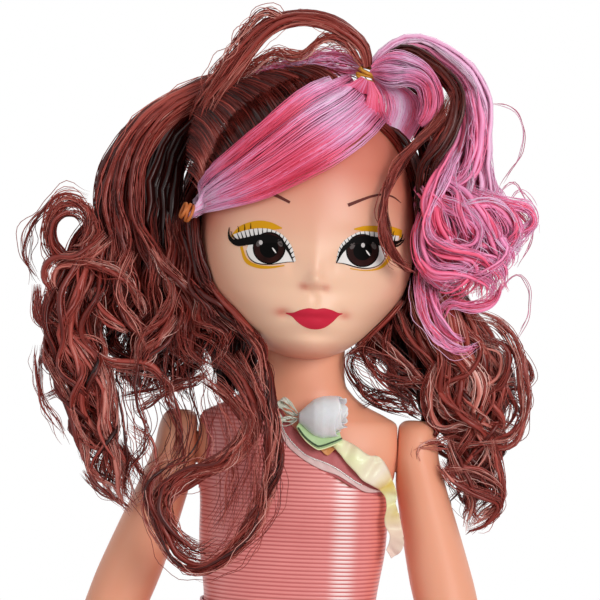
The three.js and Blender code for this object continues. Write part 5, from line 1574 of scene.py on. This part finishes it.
# Above the elastic one brown lock is looped up and over to the right temple, and a pink one is rolled to the
# left. Both are pinned by the elastic's turns.
arc = tress(
    "brown_top_arc",
    [[(371, 66, -8), (369, 47, -9), (352, 28, -10), (325, 14, -11), (290, 12, -11), (262, 22, -11),
      (238, 45, -10), (215, 72, -9), (196, 100, -7), (189, 122, -5)],
     [(363, 68, -8), (357, 51, -9), (343, 40, -10), (322, 30, -11), (295, 27, -11), (272, 38, -11),
      (255, 58, -10), (238, 82, -9), (222, 102, -8), (212, 121, -6)]],
    [1.4, 2.6, 2.8, 3, 3.2, 3], 190, 26, brown_fibre, clumps=18, tight=1.1, curl=(0.1, 0.7), wave=34,
    frizz=0.16, tone=(0.35, 0.8), seed=41, ends=(0.86, 1),
    stray=0.05, body=False, locks=14, bulk=0.8,
)
on_top(arc, "hair_top_arc")
for i, (rails, count) in enumerate([
    ([[(362, 62, -9), (350, 44, -10), (333, 34, -11), (317, 38, -11), (300, 52, -10), (275, 52, -9),
       (250, 62, -8), (232, 78, -8)],
      [(360, 66, -9), (347, 50, -10), (333, 41, -11), (320, 45, -11), (302, 60, -10), (278, 59, -9),
       (252, 70, -8), (236, 86, -8)]], 60),
    ([[(300, 24, -11), (266, 8, -11), (248, 20, -10), (225, 52, -9), (205, 84, -8), (200, 110, -7)],
      [(290, 26, -11), (268, 13, -11), (252, 27, -10), (230, 58, -9), (216, 74, -8), (208, 112, -7)]], 40),
]):
    on_top(tress(f"brown_arc_wisp_{i}", rails, [0.8, 1.5, 1.5, 1.2], count, 30, brown_fibre, clumps=6,
                 curl=(0.2, 1.2), wave=26, frizz=0.35,
                 size=0.15, tone=(0.4, 0.85), seed=42 + i, stray=0.15, body=False))
pink_wisps = tress(
    "pink_top_wisps",
    [[(363, 64, -6), (345, 52, -5), (325, 52, -4), (300, 57, -3), (270, 62, -2), (248, 68, -2)],
     [(363, 72, -6), (340, 74, -5), (320, 71, -4), (300, 70, -3), (272, 73, -2), (250, 74, -2)]],
    [1, 2, 2, 1.5], 130, 22, pink_fibre, clumps=12, tight=1.3, curl=(0.2, 1.3), wave=24, frizz=0.4,
    size=0.16, tone=(0.3, 0.8), seed=44, stray=0.12, ends=(0.6, 1),
    body=False,
)
on_top(pink_wisps, slot="hair_pink")
roll = tress(
    "pink_top_roll",
    [[(372, 66, -10), (378, 60, -11), (392, 53, -13), (410, 56, -14), (428, 68, -15), (441, 88, -16),
      (442, 106, -17), (434, 122, -17), (424, 128, -17)],
     [(372, 76, -10), (384, 84, -13), (395, 86, -15), (408, 84, -17), (418, 88, -18), (421, 98, -19),
      (422, 106, -19), (420, 114, -19), (416, 122, -18)]],
    [1.4, 3, 4, 4.4, 4.4, 4, 3], 380, 20, pink_fibre, clumps=26, tight=1.15, curl=(0, 0.3), frizz=0.16,
    size=0.19, tone=(0.4, 0.75),
    # Painted highlight on the roll's bulge; darker past where it turns down
    tint=lambda t, v: 0.3 * np.exp(-(((t - 0.34) / 0.13) ** 2)) - 0.16 * (t > 0.62), seed=45, ends=(0.93, 1),
    body=False, stray=0.02,
)
on_top(roll, "hair_top_roll", slot="hair_pink")

# The pink ponytail rises from the elastic, falls over the left side and ends in a mass of loose curls.
ponytail = tress(
    "pink_ponytail",
    [[(368, 62, -5), (380, 47, -3), (399, 38, -1), (424, 38, 0), (449, 48, 0), (472, 65, 0), (487, 86, 0),
      (492, 113, 0), (493, 144, -1), (495, 172, -2),
      (512, 196, -3), (531, 214, -4), (528, 240, -4), (508, 262, -5), (498, 285, -5)],
     [(372, 70, -5), (386, 57, -4), (404, 46, -2), (422, 46, -1), (440, 58, -1), (464, 78, -1),
      (474, 100, -1), (477, 124, -1), (472, 150, -2), (462, 176, -3),
      (462, 205, -4), (464, 230, -5), (462, 255, -5), (455, 280, -5), (450, 310, -5)],
     [(374, 72, -5), (392, 62, -4), (410, 54, -3), (424, 58, -2), (436, 68, -2), (456, 88, -2),
      (461, 113, -2), (454, 143, -3), (440, 169, -4), (430, 188, -4),
      (424, 215, -5), (418, 240, -5), (418, 268, -5), (420, 292, -5), (430, 325, -5)]],
    [1.8, 4, 6, 8, 9, 9, 10, 13, 16, 17, 14, 9], 320, 36, lilac_fibre, clumps=30, tight=0.75,
    curl=(0.1, 4.4), start=0.42, wave=25, size=0.2,
    tone=(0.55, 1.0), seed=51, ends=(0.78, 1), stray=0.04, locks=40, bulk=0.85,
)
hanging(ponytail, "hair_left_ponytail", slot="hair_pink", high=0.36, low=0.28)
for i, (rails, count, thick, curl, seed) in enumerate([
    ([[(374, 70, -5), (392, 60, -4), (410, 52, -3), (430, 58, -3), (452, 76, -3), (470, 100, -3),
       (473, 130, -4), (468, 160, -5), (480, 186, -8), (505, 200, -10),
       (524, 214, -10), (522, 238, -10), (500, 252, -10), (480, 268, -10)],
      [(376, 73, -5), (394, 66, -5), (412, 58, -4), (428, 66, -4), (446, 86, -4), (458, 108, -4),
       (457, 136, -5), (446, 160, -6), (436, 184, -10), (432, 205, -14),
       (425, 232, -15), (423, 258, -15), (420, 284, -14), (428, 312, -12)]], 270,
       [1.5, 3, 5, 6, 8, 12, 15, 14, 10], (0.1, 4.6), 52),
    ([[(440, 150, -12), (455, 176, -16), (476, 196, -18), (500, 208, -18), (520, 222, -16), (514, 244, -16),
       (492, 256, -14)],
      [(426, 176, -12), (420, 200, -18), (424, 226, -22), (436, 246, -22), (444, 268, -18), (440, 292, -14),
       (436, 310, -10)]], 190, [3, 7, 9, 9, 7], (2.5, 5), 53),
]):
    pink = tress(f"pink_ponytail_curls_{i}", rails, thick, count, 36 if i == 0 else 30, pink_fibre,
                 clumps=20, tight=0.8, curl=curl, start=0.4, wave=26,
                 size=0.19, tone=(0.35, 0.9), seed=seed, ends=(0.75, 1), stray=0.04, locks=28, bulk=0.9,
                 root=0.04 + 0.1 * i)
    hanging(pink, slot="hair_pink", high=0.36, low=0.28)


def curls(name, lines, half, count, seed, depth=(0, 0), tone=(0.4, 0.85), curl=(0.4, 1.2), wave=22,
          thick=2.2, high=0.345, low=0.292, material=brown_fibre,
          slot="hair_brown", size=0.155, tight=1.0, stray=0.08, narrow=0.55, locks=2, bulk=0.9):
    """Separate curls: each a thin lock that follows its own drawn line."""
    pieces = []
    for i, line in enumerate(lines):
        line = np.array(line, float)
        if line.shape[1] == 2:
            line = np.column_stack([line, np.linspace(depth[0], depth[1], len(line))])
        way = np.gradient(line[:, :2], axis=0)
        side = np.stack([way[:, 1], -way[:, 0]], 1) / np.maximum(np.linalg.norm(way, axis=1), 1e-6)[:, None]
        rails = []
        for sign in (-1, 1):
            rail = line.copy()
            rail[:, :2] += side * half * sign * np.linspace(1, narrow, len(line))[:, None]
            rails.append(rail)
        length = np.linalg.norm(np.diff(line[:, :2], axis=0), axis=1).sum()
        pieces.append(tress(f"{name}_{i}", rails, [thick, thick, thick * 0.6], count,
                            int(min(40, 12 + length / 9)), material, clumps=5, tight=tight, curl=curl,
                            start=0.1, wave=wave, frizz=0.25, size=size, tone=tone, seed=seed + i,
                            stray=stray,
                            locks=locks, bulk=bulk, root=0.14))
    whole = joined(name, pieces)
    hanging(whole, slot=slot, high=high, low=low)
    return whole


# Smooth locks that show on the pink curls, the last curl that turns up below them, and single stray hairs
pony_lines = [
    [(470, 90, -10), (476, 120, -11), (474, 150, -12), (462, 176, -14), (442, 196, -16)],
    [(482, 110, -8), (484, 140, -9), (476, 170, -11), (455, 190, -14), (432, 205, -16)],
    [(455, 150, -14), (440, 180, -20), (428, 208, -24), (430, 236, -26), (448, 250, -24)],
    [(470, 190, -16), (500, 200, -18), (528, 208, -18), (534, 226, -17), (512, 246, -16)],
    [(492, 190, -14), (486, 215, -18), (494, 240, -20), (506, 256, -18), (500, 270, -15)],
    [(430, 240, -26), (450, 250, -27), (478, 256, -24), (498, 270, -20), (505, 290, -16)],
    [(418, 250, -20), (436, 270, -22), (462, 272, -21), (484, 280, -18), (490, 300, -14)],
    [(440, 200, -24), (462, 210, -25), (480, 228, -24), (474, 248, -22), (452, 256, -21)],
    [(456, 212, -25), (486, 206, -23), (508, 214, -21), (516, 232, -19), (500, 250, -18)],
    [(424, 212, -20), (418, 240, -22), (424, 266, -20), (442, 284, -16), (462, 286, -14)],
]
curls("pink_front_curls", pony_lines, 8, 40, 520, tone=(0.4, 0.95), curl=(0.3, 1.2), wave=26, thick=3,
      high=0.36, low=0.28, material=pink_fibre, slot="hair_pink",
      size=0.18, stray=0.04, narrow=0.7, locks=4, bulk=0.8)
curls("pink_last_curl", [[(418, 276, -12), (419, 296, -14), (426, 322, -15), (441, 342, -14),
                          (462, 350, -12), (480, 344, -9)],
                         [(428, 286, -12), (432, 300, -14), (440, 320, -14), (452, 336, -13),
                          (466, 344, -11)],
                         [(500, 280, -8), (490, 300, -10), (470, 306, -12), (450, 304, -13),
                          (440, 318, -12)]],
      6, 40, 541, tone=(0.35, 0.85), curl=(0.3, 0.9), wave=26, high=0.36, low=0.28, material=pink_fibre,
      slot="hair_pink", stray=0.04)
curls("stray_hairs", [[(488, 104, 0), (506, 106, 0), (520, 118, 0), (524, 140, 0), (518, 158, 0),
                       (506, 176, 0), (496, 194, 0)],
                      [(496, 196, 0), (512, 182, 0), (524, 196, 0), (534, 214, 0), (532, 238, 0),
                       (520, 262, 0), (512, 280, 0)],
                      [(498, 296, 0), (508, 282, 0), (520, 276, 0), (530, 292, 0), (528, 316, 0),
                       (516, 340, 0)],
                      [(510, 200, 0), (520, 190, 0), (532, 200, 0), (538, 212, 0)]],
      1.2, 3, 551, tone=(0.0, 0.3), curl=(0.1, 0.3), wave=40, high=0.36, low=0.28, material=lilac_fibre,
      slot="hair_pink", size=0.16, stray=0,
      locks=0)

# Brown hair between the pink: an inner lock of the ponytail, the rooted side hair and a tendril by the face.
inner = tress(
    "brown_inner_lock",
    [[(376, 62, -7), (393, 50, -7), (408, 46, -8), (428, 54, -9), (450, 74, -10), (463, 92, -12),
      (464, 108, -14), (458, 126, -15), (447, 148, -16), (436, 172, -17), (430, 200, -18), (428, 232, -18)],
     [(376, 68, -8), (393, 57, -9), (406, 53, -10), (422, 62, -12), (440, 78, -14), (450, 94, -16),
      (451, 108, -18), (446, 124, -20), (432, 144, -21), (418, 166, -21), (415, 196, -20), (415, 230, -19)]],
    [1, 1.8, 2.4, 3, 3, 2.4], 170, 24, brown_fibre, clumps=14, tight=1.1, curl=(0.1, 0.7), wave=26,
    tone=(0.15, 0.65), seed=61, body=False, locks=12, bulk=0.8,
    tint=lambda t, v: -0.25 * np.clip(t * 2.2 - 1.1, 0, 1),
)
on_top(inner)
side_hair = tress(
    "brown_left_side_hair",
    [[(376, 120, 1), (400, 133, 2.5), (417, 158, 4), (428, 190, 5), (430, 225, 5), (428, 260, 5)],
     [(392, 126, 0.6), (405, 142, 1.2), (413, 166, 2), (417, 196, 2.4), (417, 228, 2.4), (415, 262, 2.6)]],
    [0.8, 1.4, 2, 2.6], 150, 14, brown_fibre, clumps=20, tight=1.2, curl=(0, 0.5), frizz=0.15, size=0.19,
    tone=(0.0, 0.34), lifted=True, seed=62, body=False, locks=10, bulk=0.9,
)
on_top(side_hair)
left_fill = tress(
    "brown_left_under_hair",
    [[(400, 70, 6), (425, 90, 8), (446, 120, 9), (458, 155, 10), (462, 195, 11), (456, 240, 12),
      (450, 280, 12)],
     [(386, 90, 4), (404, 112, 4), (418, 140, 4), (424, 175, 4), (424, 215, 4), (420, 255, 5),
      (414, 285, 6)]],
    [2, 4, 6, 7, 7], 160, 16, brown_fibre, clumps=20, tight=1.2, curl=(0, 0.8), size=0.24, tone=(0.0, 0.3),
    seed=64, locks=30, bulk=2.2,
)
hanging(left_fill, high=0.36, low=0.28)
tendril = tress(
    "face_tendril",
    [[(458, 96, -17), (448, 118, -20), (424, 142, -24), (408, 158, -27), (398, 176, -30), (389, 205, -33),
      (391, 228, -34), (398, 248, -33), (409, 262, -29), (417, 268, -24)],
     [(448, 92, -16), (436, 118, -20), (408, 148, -25), (394, 168, -28), (386, 184, -31), (379, 210, -34),
      (381, 236, -35), (390, 257, -34), (404, 271, -30), (413, 274, -25)]],
    [1.6, 1.4, 1.2, 1, 1], 110, 32, brown_fibre, clumps=5, curl=(0.1, 0.7), wave=24, frizz=0.16, size=0.16,
    tone=(0.3, 0.75), seed=63, margin=(0.6, 1.6), root=0.25,
    stray=0.05, body=False,
)
on_top(tendril, "hair_face_tendril")

# On the right the rooted hair is drawn out and down to the temple in a smooth curtain, and curls below it.
curtain = tress(
    "right_curtain",
    [[(345, 66, 2), (320, 68, 3), (290, 68, 4), (250, 71, 5), (207, 77, 5), (159, 100, 4), (131, 121, 3),
      (109, 148, 2), (97, 175, 2), (91, 202, 1), (90, 232, 0), (84, 262, -2), (70, 292, -4), (56, 320, -4)],
     [(340, 70, 2), (318, 74, 3), (290, 77, 4), (250, 80, 4), (210, 88, 3), (170, 108, 2), (144, 130, 1),
      (127, 158, 0), (120, 190, -1), (119, 220, -2), (126, 250, -4), (124, 285, -6), (118, 316, -6),
      (104, 345, -6)],
     [(335, 78, 2), (316, 80, 3), (290, 84, 3), (250, 90, 1), (215, 98, 0), (183, 116, -1), (161, 140, -2),
      (150, 168, -3), (148, 196, -4), (154, 224, -6), (168, 250, -8), (178, 282, -9), (176, 314, -9),
      (160, 340, -9)]],
    [2, 3, 4, 4.4, 5, 6, 7, 8, 8, 8, 7], 470, 30, brown_fibre, clumps=46, tight=1.1, curl=(0, 2.4),
    start=0.5, wave=26, size=0.2, tone=(0.2, 0.62), seed=71,
    # Painted highlight across the curtain, and painted shade along its inner edge
    tint=lambda t, v: 0.2 * np.exp(-(((t - 0.4) / 0.1) ** 2)) - 0.16 * (v > 0.85), locks=56, bulk=0.85,
)
hanging(curtain, "hair_right_curtain")
# Painted shadow: nearly black fibres fill the deep shadow under the curtain, lighter towards the crown and
# the outer edge
painted_shadow_under_curtain = tress(
    "right_under_curtain",
    [[(296, 90, 20), (240, 90, 23), (180, 106, 23), (140, 136, 20), (118, 178, 16), (112, 224, 12),
      (116, 262, 8)],
     [(296, 96, 17), (250, 104, 18), (214, 122, 17), (192, 152, 14), (184, 190, 8), (184, 226, 4),
      (188, 262, 0)]],
    [3, 5, 6, 6, 6, 6], 120, 14, brown_fibre, clumps=40, tight=1.3, curl=(0, 0.8), size=0.3,
    tone=(-0.1, 0.1), seed=73, ends=(0.9, 1), stray=0,
    locks=60, bulk=2.0, root=0.2,
    tint=lambda t, v: 0.42 * np.clip(np.maximum(1.9 - t * 3.4, 1.9 - v * 3.2), 0, 1),
)
hanging(painted_shadow_under_curtain)
for name, rails in [
    ("right", [[(205, 300, 14), (208, 340, 16), (214, 375, 16), (222, 402, 14)],
               [(264, 300, 20), (264, 340, 22), (264, 370, 20), (258, 394, 16)]]),
    ("left", [[(350, 300, 18), (350, 325, 20), (353, 345, 18), (360, 360, 14)],
              [(425, 290, 14), (428, 320, 14), (424, 350, 12), (412, 372, 10)]]),
]:
    nape = tress(
        f"{name}_nape_hair", rails, [4, 5, 5, 4], 120, 12, brown_fibre, tight=1.2, curl=(0.2, 1.5), wave=22,
        frizz=0.3, size=0.22,
        tone=(-0.1, 0.28), seed=75, ends=(0.85, 1), stray=0.1, locks=24, bulk=1.8, root=0.1,
    )
    hanging(nape)
temple_strand = tress(
    "right_temple_strand",
    [[(186, 205, -10), (184, 232, -12), (186, 255, -12), (192, 282, -12), (206, 312, -12)],
     [(198, 205, -10), (202, 232, -12), (208, 255, -13), (218, 282, -13), (230, 310, -13)]],
    [2, 3, 4, 4, 3], 110, 18, brown_fibre, clumps=10, tight=1.1, curl=(0, 1.2), start=0.4, size=0.19,
    tone=(0.05, 0.4), seed=72, locks=10, bulk=1.2,
)
hanging(temple_strand)

def curled_masses(rows, start, node):
    """Thick bodies of curls; the first of them stands for the node."""
    for name, rails, thick, count, steps, clumps, curl, wave, seed, tone in rows:
        mass = tress(
            name, rails, thick, count, steps, brown_fibre, clumps=clumps, tight=0.75, curl=curl, start=start,
            wave=wave,
            frizz=0.24, tone=tone, seed=seed, ends=(0.7, 1), stray=0.06, locks=int(clumps * 1.6), bulk=1.15,
            root=0.12,
        )
        hanging(mass, *([node] if name == rows[0][0] else []))


# The mass at the right: outer column, middle, inner column
ringlets = [
    ("right_outer_curls", [[(94, 206, 4), (62, 258, -1), (44, 300, -4), (44, 345, -4), (60, 385, -5),
                            (80, 424, -5), (98, 462, -6), (122, 492, -8)],
                           [(128, 212, 2), (114, 280, -6), (104, 335, -9), (106, 375, -9), (110, 415, -9),
                            (114, 450, -9), (122, 475, -9), (132, 500, -9)]],
     [5, 9, 12, 12, 9, 6, 4, 2], 230, 36, 26, (0.6, 4.6), 24, 81, (0.3, 0.8)),
    ("right_middle_curls", [[(122, 205, 8), (104, 262, 6), (92, 320, 6), (96, 355, 6), (112, 380, 4),
                             (130, 396, 2)],
                            [(184, 210, 8), (192, 275, 5), (184, 325, 5), (176, 350, 5), (168, 368, 3),
                             (158, 385, 1)]],
     [6, 12, 15, 14, 9, 5], 250, 32, 30, (0.8, 4.4), 23, 82, (0.1, 0.6)),
    ("right_inner_curls", [[(160, 214, 6), (158, 275, -1), (160, 320, -5), (172, 350, -9), (190, 372, -14)],
                           [(196, 222, 2), (222, 280, -10), (246, 320, -18), (258, 346, -24),
                            (256, 368, -27)]],
     [5, 8, 9, 7, 4], 190, 28, 20, (0.8, 3.6), 22, 83, (0.2, 0.7)),
]
curled_masses(ringlets, 0.1, "hair_right_curls")

right_lines = [
    [(108, 236), (80, 258), (56, 262), (46, 280), (56, 300)],
    [(56, 262), (74, 262), (91, 264), (120, 275), (134, 289), (145, 319)],
    [(91, 289), (97, 305), (109, 323), (127, 335)],
    [(45, 307), (74, 337), (95, 364), (104, 391), (106, 426), (113, 462), (127, 498)],
    [(177, 316), (163, 337), (149, 355), (141, 362)],
    [(47, 355), (66, 391), (79, 426), (91, 468), (112, 490), (131, 510)],
    [(36, 284), (38, 319), (60, 330), (86, 338), (104, 352)],
    [(100, 352), (110, 390), (112, 432), (121, 476), (133, 512)],
    [(100, 268, -2), (74, 268, -6), (52, 256, -9), (43, 232, -10), (52, 206, -10), (72, 197, -9),
     (90, 208, -9), (93, 232, -10), (84, 250, -11), (68, 250, -12)],
    [(96, 250, -2), (88, 262, -6), (68, 266, -9), (52, 246, -11), (52, 222, -12), (66, 208, -12),
     (82, 214, -12), (86, 232, -13), (76, 244, -13)],
    [(150, 250), (166, 272), (190, 290), (205, 310), (212, 340)],
    [(84, 350), (110, 366), (150, 372), (168, 386), (160, 404)],
    [(66, 300), (58, 330), (64, 360), (84, 380), (92, 410)],
    [(130, 250), (118, 280), (122, 310), (140, 330), (144, 352)],
    [(160, 260), (172, 290), (160, 320), (140, 340), (130, 370)],
]
curls("right_front_curls", right_lines, 7, 34, 101, depth=(-12, -14), tone=(0.4, 0.9), curl=(0.3, 1.3))
fine_lines = [
    [(127, 426, -12), (149, 441, -13), (154, 462, -13), (152, 489, -13), (131, 508, -12)],
    [(39, 345, -6), (37, 370, -6), (42, 396, -7), (54, 420, -8), (68, 446, -8)],
    [(44, 398, -7), (60, 392, -7), (72, 404, -8), (84, 436, -8)],
    [(120, 400, -10), (150, 392, -12), (184, 384, -14), (210, 372, -17)],
    [(132, 412, -10), (160, 396, -12), (196, 380, -15), (216, 366, -18)],
    [(168, 388, -12), (176, 420, -13), (178, 448, -13), (174, 462, -13)],
    [(118, 440, -10), (134, 470, -11), (150, 488, -12), (160, 470, -13)],
    [(83, 470, -8), (100, 490, -8), (119, 502, -9), (133, 512, -10)],
    [(88, 196, -2), (66, 192, -2), (44, 208, -2), (28, 226, -2), (25, 256, -2), (36, 284, -2)],
]
curls("right_fine_strands", fine_lines, 4.5, 14, 121, tone=(0.35, 0.8), curl=(0.3, 0.9), size=0.14,
      narrow=0.9, stray=0.2, locks=1, bulk=0.45)
curls("right_shoulder_veil", [
    [(150, 335, -12), (142, 380, -14), (150, 425, -15), (138, 462, -15), (128, 500, -14)],
    [(172, 345, -13), (168, 390, -15), (182, 430, -17), (176, 468, -18), (160, 500, -18)],
    [(192, 350, -15), (200, 390, -19), (204, 430, -23), (190, 470, -25), (172, 500, -25)],
    [(120, 360, -10), (124, 400, -11), (134, 440, -12), (128, 480, -12), (136, 512, -12)],
], 12, 9, 149, wave=26, curl=(0.5, 2), thick=2.4, tone=(0.15, 0.6), size=0.16, stray=0.3, narrow=0.8,
locks=1, bulk=0.5)
chest_lines = [
    [(204, 278, -14), (225, 300, -16), (245, 325, -20), (258, 345, -24), (260, 360, -26), (250, 373, -27)],
    [(207, 298, -14), (231, 323, -18), (252, 341, -24), (264, 362, -27), (270, 395, -31), (278, 436, -33),
     (276, 470, -34), (266, 502, -35), (250, 540, -35)],
    [(199, 374, -18), (226, 394, -25), (243, 412, -30), (249, 428, -32), (230, 454, -33), (201, 470, -33),
     (168, 486, -31), (156, 512, -31), (166, 540, -32), (190, 560, -33)],
    [(214, 352, -20), (238, 378, -27), (254, 406, -31), (254, 430, -33), (236, 456, -34), (206, 472, -34),
     (172, 490, -32), (160, 515, -31), (176, 548, -33), (212, 566, -34)],
    [(240, 352, -24), (258, 385, -29), (270, 430, -33), (270, 470, -34), (258, 512, -35), (236, 548, -36),
     (206, 564, -35)],
    [(262, 470, -34), (262, 500, -35), (248, 535, -36), (220, 562, -36), (190, 566, -35), (165, 548, -34),
     (152, 515, -32), (150, 485, -31), (165, 462, -30), (195, 452, -31)],
    [(240, 440, -33), (222, 466, -34), (196, 472, -33), (174, 484, -32), (166, 506, -32), (174, 530, -33),
     (196, 546, -34), (226, 540, -35)],
]
chest = curls("chest_curls", chest_lines, 8, 38, 131, wave=30, curl=(0.4, 1.4), thick=2.4, tone=(0.3, 0.75),
              size=0.15, stray=0.12, narrow=0.8)
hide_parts("hair_chest_curl")
curls("chest_veil", [
    [(232, 380, -28), (250, 420, -33), (256, 460, -34), (246, 500, -35), (226, 536, -35)],
    [(210, 390, -24), (222, 430, -31), (226, 470, -33), (216, 510, -34), (200, 540, -34)],
    [(255, 400, -31), (264, 450, -34), (262, 500, -35), (240, 540, -36), (205, 560, -35), (175, 545, -34)],
], 14, 16, 145, wave=34, curl=(0.6, 2), thick=2, tone=(0.3, 0.7), size=0.13, stray=0.3, narrow=0.9, locks=0)

left_masses = [
    ("left_back_curls", [[(405, 262, 8), (400, 300, 9), (394, 335, 10), (404, 375, 10), (416, 405, 10),
                          (432, 435, 10), (446, 465, 9), (458, 495, 8), (468, 525, 7)],
                         [(442, 262, 10), (476, 305, 12), (504, 344, 13), (518, 384, 13), (512, 425, 12),
                          (498, 456, 11), (498, 485, 10), (492, 508, 9), (482, 525, 7)]],
     [5, 9, 13, 15, 14, 12, 9, 7, 4], 225, 36, 34, (0.6, 4.6), 24, 91, (0.2, 0.75)),
    ("left_front_curls_mass", [[(408, 262, 0), (408, 305, -2), (404, 335, -2), (412, 370, 0), (424, 400, 2),
                                (438, 425, 3), (450, 450, 3), (462, 490, 4)],
                          [(438, 262, 0), (462, 300, -2), (486, 335, -2), (504, 370, 0), (508, 405, 2),
                           (500, 435, 3), (494, 462, 3), (484, 500, 4)]],
     [3, 6, 7, 7, 7, 6, 5, 3], 190, 34, 22, (0.6, 4.4), 24, 92, (0.4, 0.95)),
]
curled_masses(left_masses, 0.08, "hair_left_curls")
left_lines = [
    [(413, 283), (421, 318), (438, 348), (455, 365), (480, 377), (509, 384), (533, 379)],
    [(373, 329), (389, 348), (411, 367), (429, 390), (446, 409), (480, 419), (522, 430)],
    [(467, 314), (499, 325), (516, 348), (522, 377), (526, 409), (509, 441), (478, 445), (438, 441),
     (415, 445), (419, 459)],
    [(438, 462), (455, 483), (476, 493), (499, 502), (488, 520), (465, 533)],
    [(434, 361), (425, 390), (429, 419), (446, 432), (480, 426), (509, 436)],
    [(400, 299), (386, 320), (370, 335), (356, 350), (346, 352)],
    [(440, 470), (462, 470), (490, 476), (501, 492), (492, 510), (470, 525)],
    [(455, 330), (476, 345), (470, 368), (448, 378), (436, 398), (448, 420), (470, 412)],
    [(480, 340), (505, 352), (500, 380), (478, 396), (470, 420), (488, 440), (508, 430)],
    [(396, 310), (410, 340), (430, 362), (452, 380), (470, 400)],
    [(488, 440), (494, 460), (500, 480), (498, 500), (480, 520)],
    [(446, 440), (456, 462), (466, 484), (470, 506), (466, 530)],
]
curls("left_front_curls", left_lines, 6.5, 32, 161, depth=(-6, 0), tone=(0.4, 0.9), curl=(0.3, 1.2))
web_lines = [
    [(345, 352, -6), (362, 361, -5), (383, 377, -4), (411, 382, -4), (438, 386, -4)],
    [(347, 375, -4), (366, 398, -2), (389, 411, -2), (413, 415, -3), (429, 419, -4)],
    [(352, 348, -8), (348, 366, -6), (358, 384, -4), (380, 396, -2), (408, 398, -2)],
    [(372, 335, -8), (366, 352, -6), (376, 372, -4), (396, 388, -3), (416, 400, -3)],
    [(390, 325, -8), (384, 350, -6), (392, 372, -4), (410, 390, -3)],
    [(346, 356, -6), (362, 350, -6), (384, 356, -5), (404, 370, -4), (420, 376, -4)],
    [(360, 402, 0), (378, 396, -1), (400, 402, -2), (420, 412, -3)],
    [(504, 344, 2), (522, 356, 2), (534, 378, 2), (518, 388, 2), (500, 380, 2)],
    [(508, 390, 2), (524, 408, 2), (522, 430, 2), (508, 444, 2)],
]
curls("left_web_strands", web_lines, 5.5, 17, 181, tone=(0.15, 0.6), curl=(0.3, 1.0), size=0.15, narrow=0.9,
      stray=0.2, locks=1, bulk=0.5)

# The hair of the back is parted down the middle and swept to both sides, over the nape, into the same curls.
for name, side in [("left", 1), ("right", -1)]:
    rails = [
        [(side * 4, -4, 412), (side * 22, 22, 408), (side * 40, 36, 392), (side * 52, 40, 366),
         (side * 60, 36, 338), (side * 64, 28, 312), (side * 62, 22, 298)],
        [(side * 2, 30, 402), (side * 16, 46, 392), (side * 34, 52, 372), (side * 46, 48, 350),
         (side * 52, 40, 328), (side * 54, 32, 310), (side * 52, 26, 298)],
        [(side * 1, 46, 368), (side * 10, 50, 358), (side * 24, 52, 345), (side * 36, 48, 332),
         (side * 42, 40, 318), (side * 44, 33, 306), (side * 44, 28, 298)],
        [(side * 1, 42, 338), (side * 6, 44, 332), (side * 16, 46, 326), (side * 26, 44, 318),
         (side * 32, 38, 310), (side * 36, 33, 302), (side * 38, 28, 297)],
    ]
    back = tress(f"back_{name}_hair", rails, [1.5, 4, 6, 7, 8, 7, 5], 300, 22, brown_fibre, clumps=44,
                 curl=(0.1, 3.6), start=0.45, wave=24, frizz=0.22, size=0.23,
                 tone=(0.2, 0.65), world=True, seed=200 + side, margin=(0.8, 4), locks=60, bulk=1.7)
    hanging(back, f"hair_back_{name}")

middle_back = tress(
    "nape_middle_hair",
    [[(-10, 40, 346), (-11, 47, 336), (-11, 45, 318), (-15, 40, 300), (-18, 36, 280), (-15, 34, 264)],
     [(0, 42, 346), (0, 49, 336), (0, 47, 318), (0, 43, 300), (0, 39, 280), (0, 36, 258)],
     [(10, 40, 346), (11, 47, 336), (11, 45, 318), (15, 40, 300), (18, 36, 280), (15, 34, 264)]],
    [2, 3, 4, 4, 4, 3], 130, 20, brown_fibre, clumps=20, curl=(0.1, 2.6), start=0.45, wave=24, frizz=0.22,
    size=0.23,
    tone=(0.2, 0.6), world=True, seed=210, margin=(0.8, 3), locks=28, bulk=1.5,
)
hanging(middle_back)

# Two thin rubber bands hold the hair: a yellow one on top and an orange one at the right temple.
rubber = {}
for name, base, shade in [("top", "E9A93A", "CF7F22"), ("temple", "C9702F", "9C4A22")]:
    rubber[name] = new_finish(f"{name} rubber", base, shade, roughness=0.55, amount=0.6, clouds=300,
                              grain=2200, bump=0.35,
                              Subsurface_Weight=0.1, Subsurface_Scale=0.001)
for name, centre, tilt, radii in [("top", (18.2, -8, 415.2), (0.25, 0.3, 0), (3.4, 2.9)),
                                  ("temple", (-41.6, -18.8, 364.2), (0.2, -1.15, 0), (2.6, 3.1))]:
    turn = Matrix.Translation(Vector(centre)) @ Matrix.Rotation(tilt[0], 4, "X")
    turn = turn @ Matrix.Rotation(tilt[1], 4, "Y")
    for i in range(4):
        ring = []
        for j in range(48):
            angle = j * math.pi / 24
            wide = 1 + 0.09 * math.sin(angle * 2 + i * 1.7)
            lift = (i - 1.5) * 0.85 + 0.5 * math.sin(angle + i * 2.1)
            spot = Vector((radii[0] * wide * math.cos(angle), radii[1] * wide * math.sin(angle), lift))
            ring.append(turn @ spot * MM)
        band = tube(f"elastic_{name}_turn_{i}", ring, 0.55, rubber[name], looped=True)
        on_top(band, *([f"elastic_{name}"] if i == 0 else []), slot="rubber")
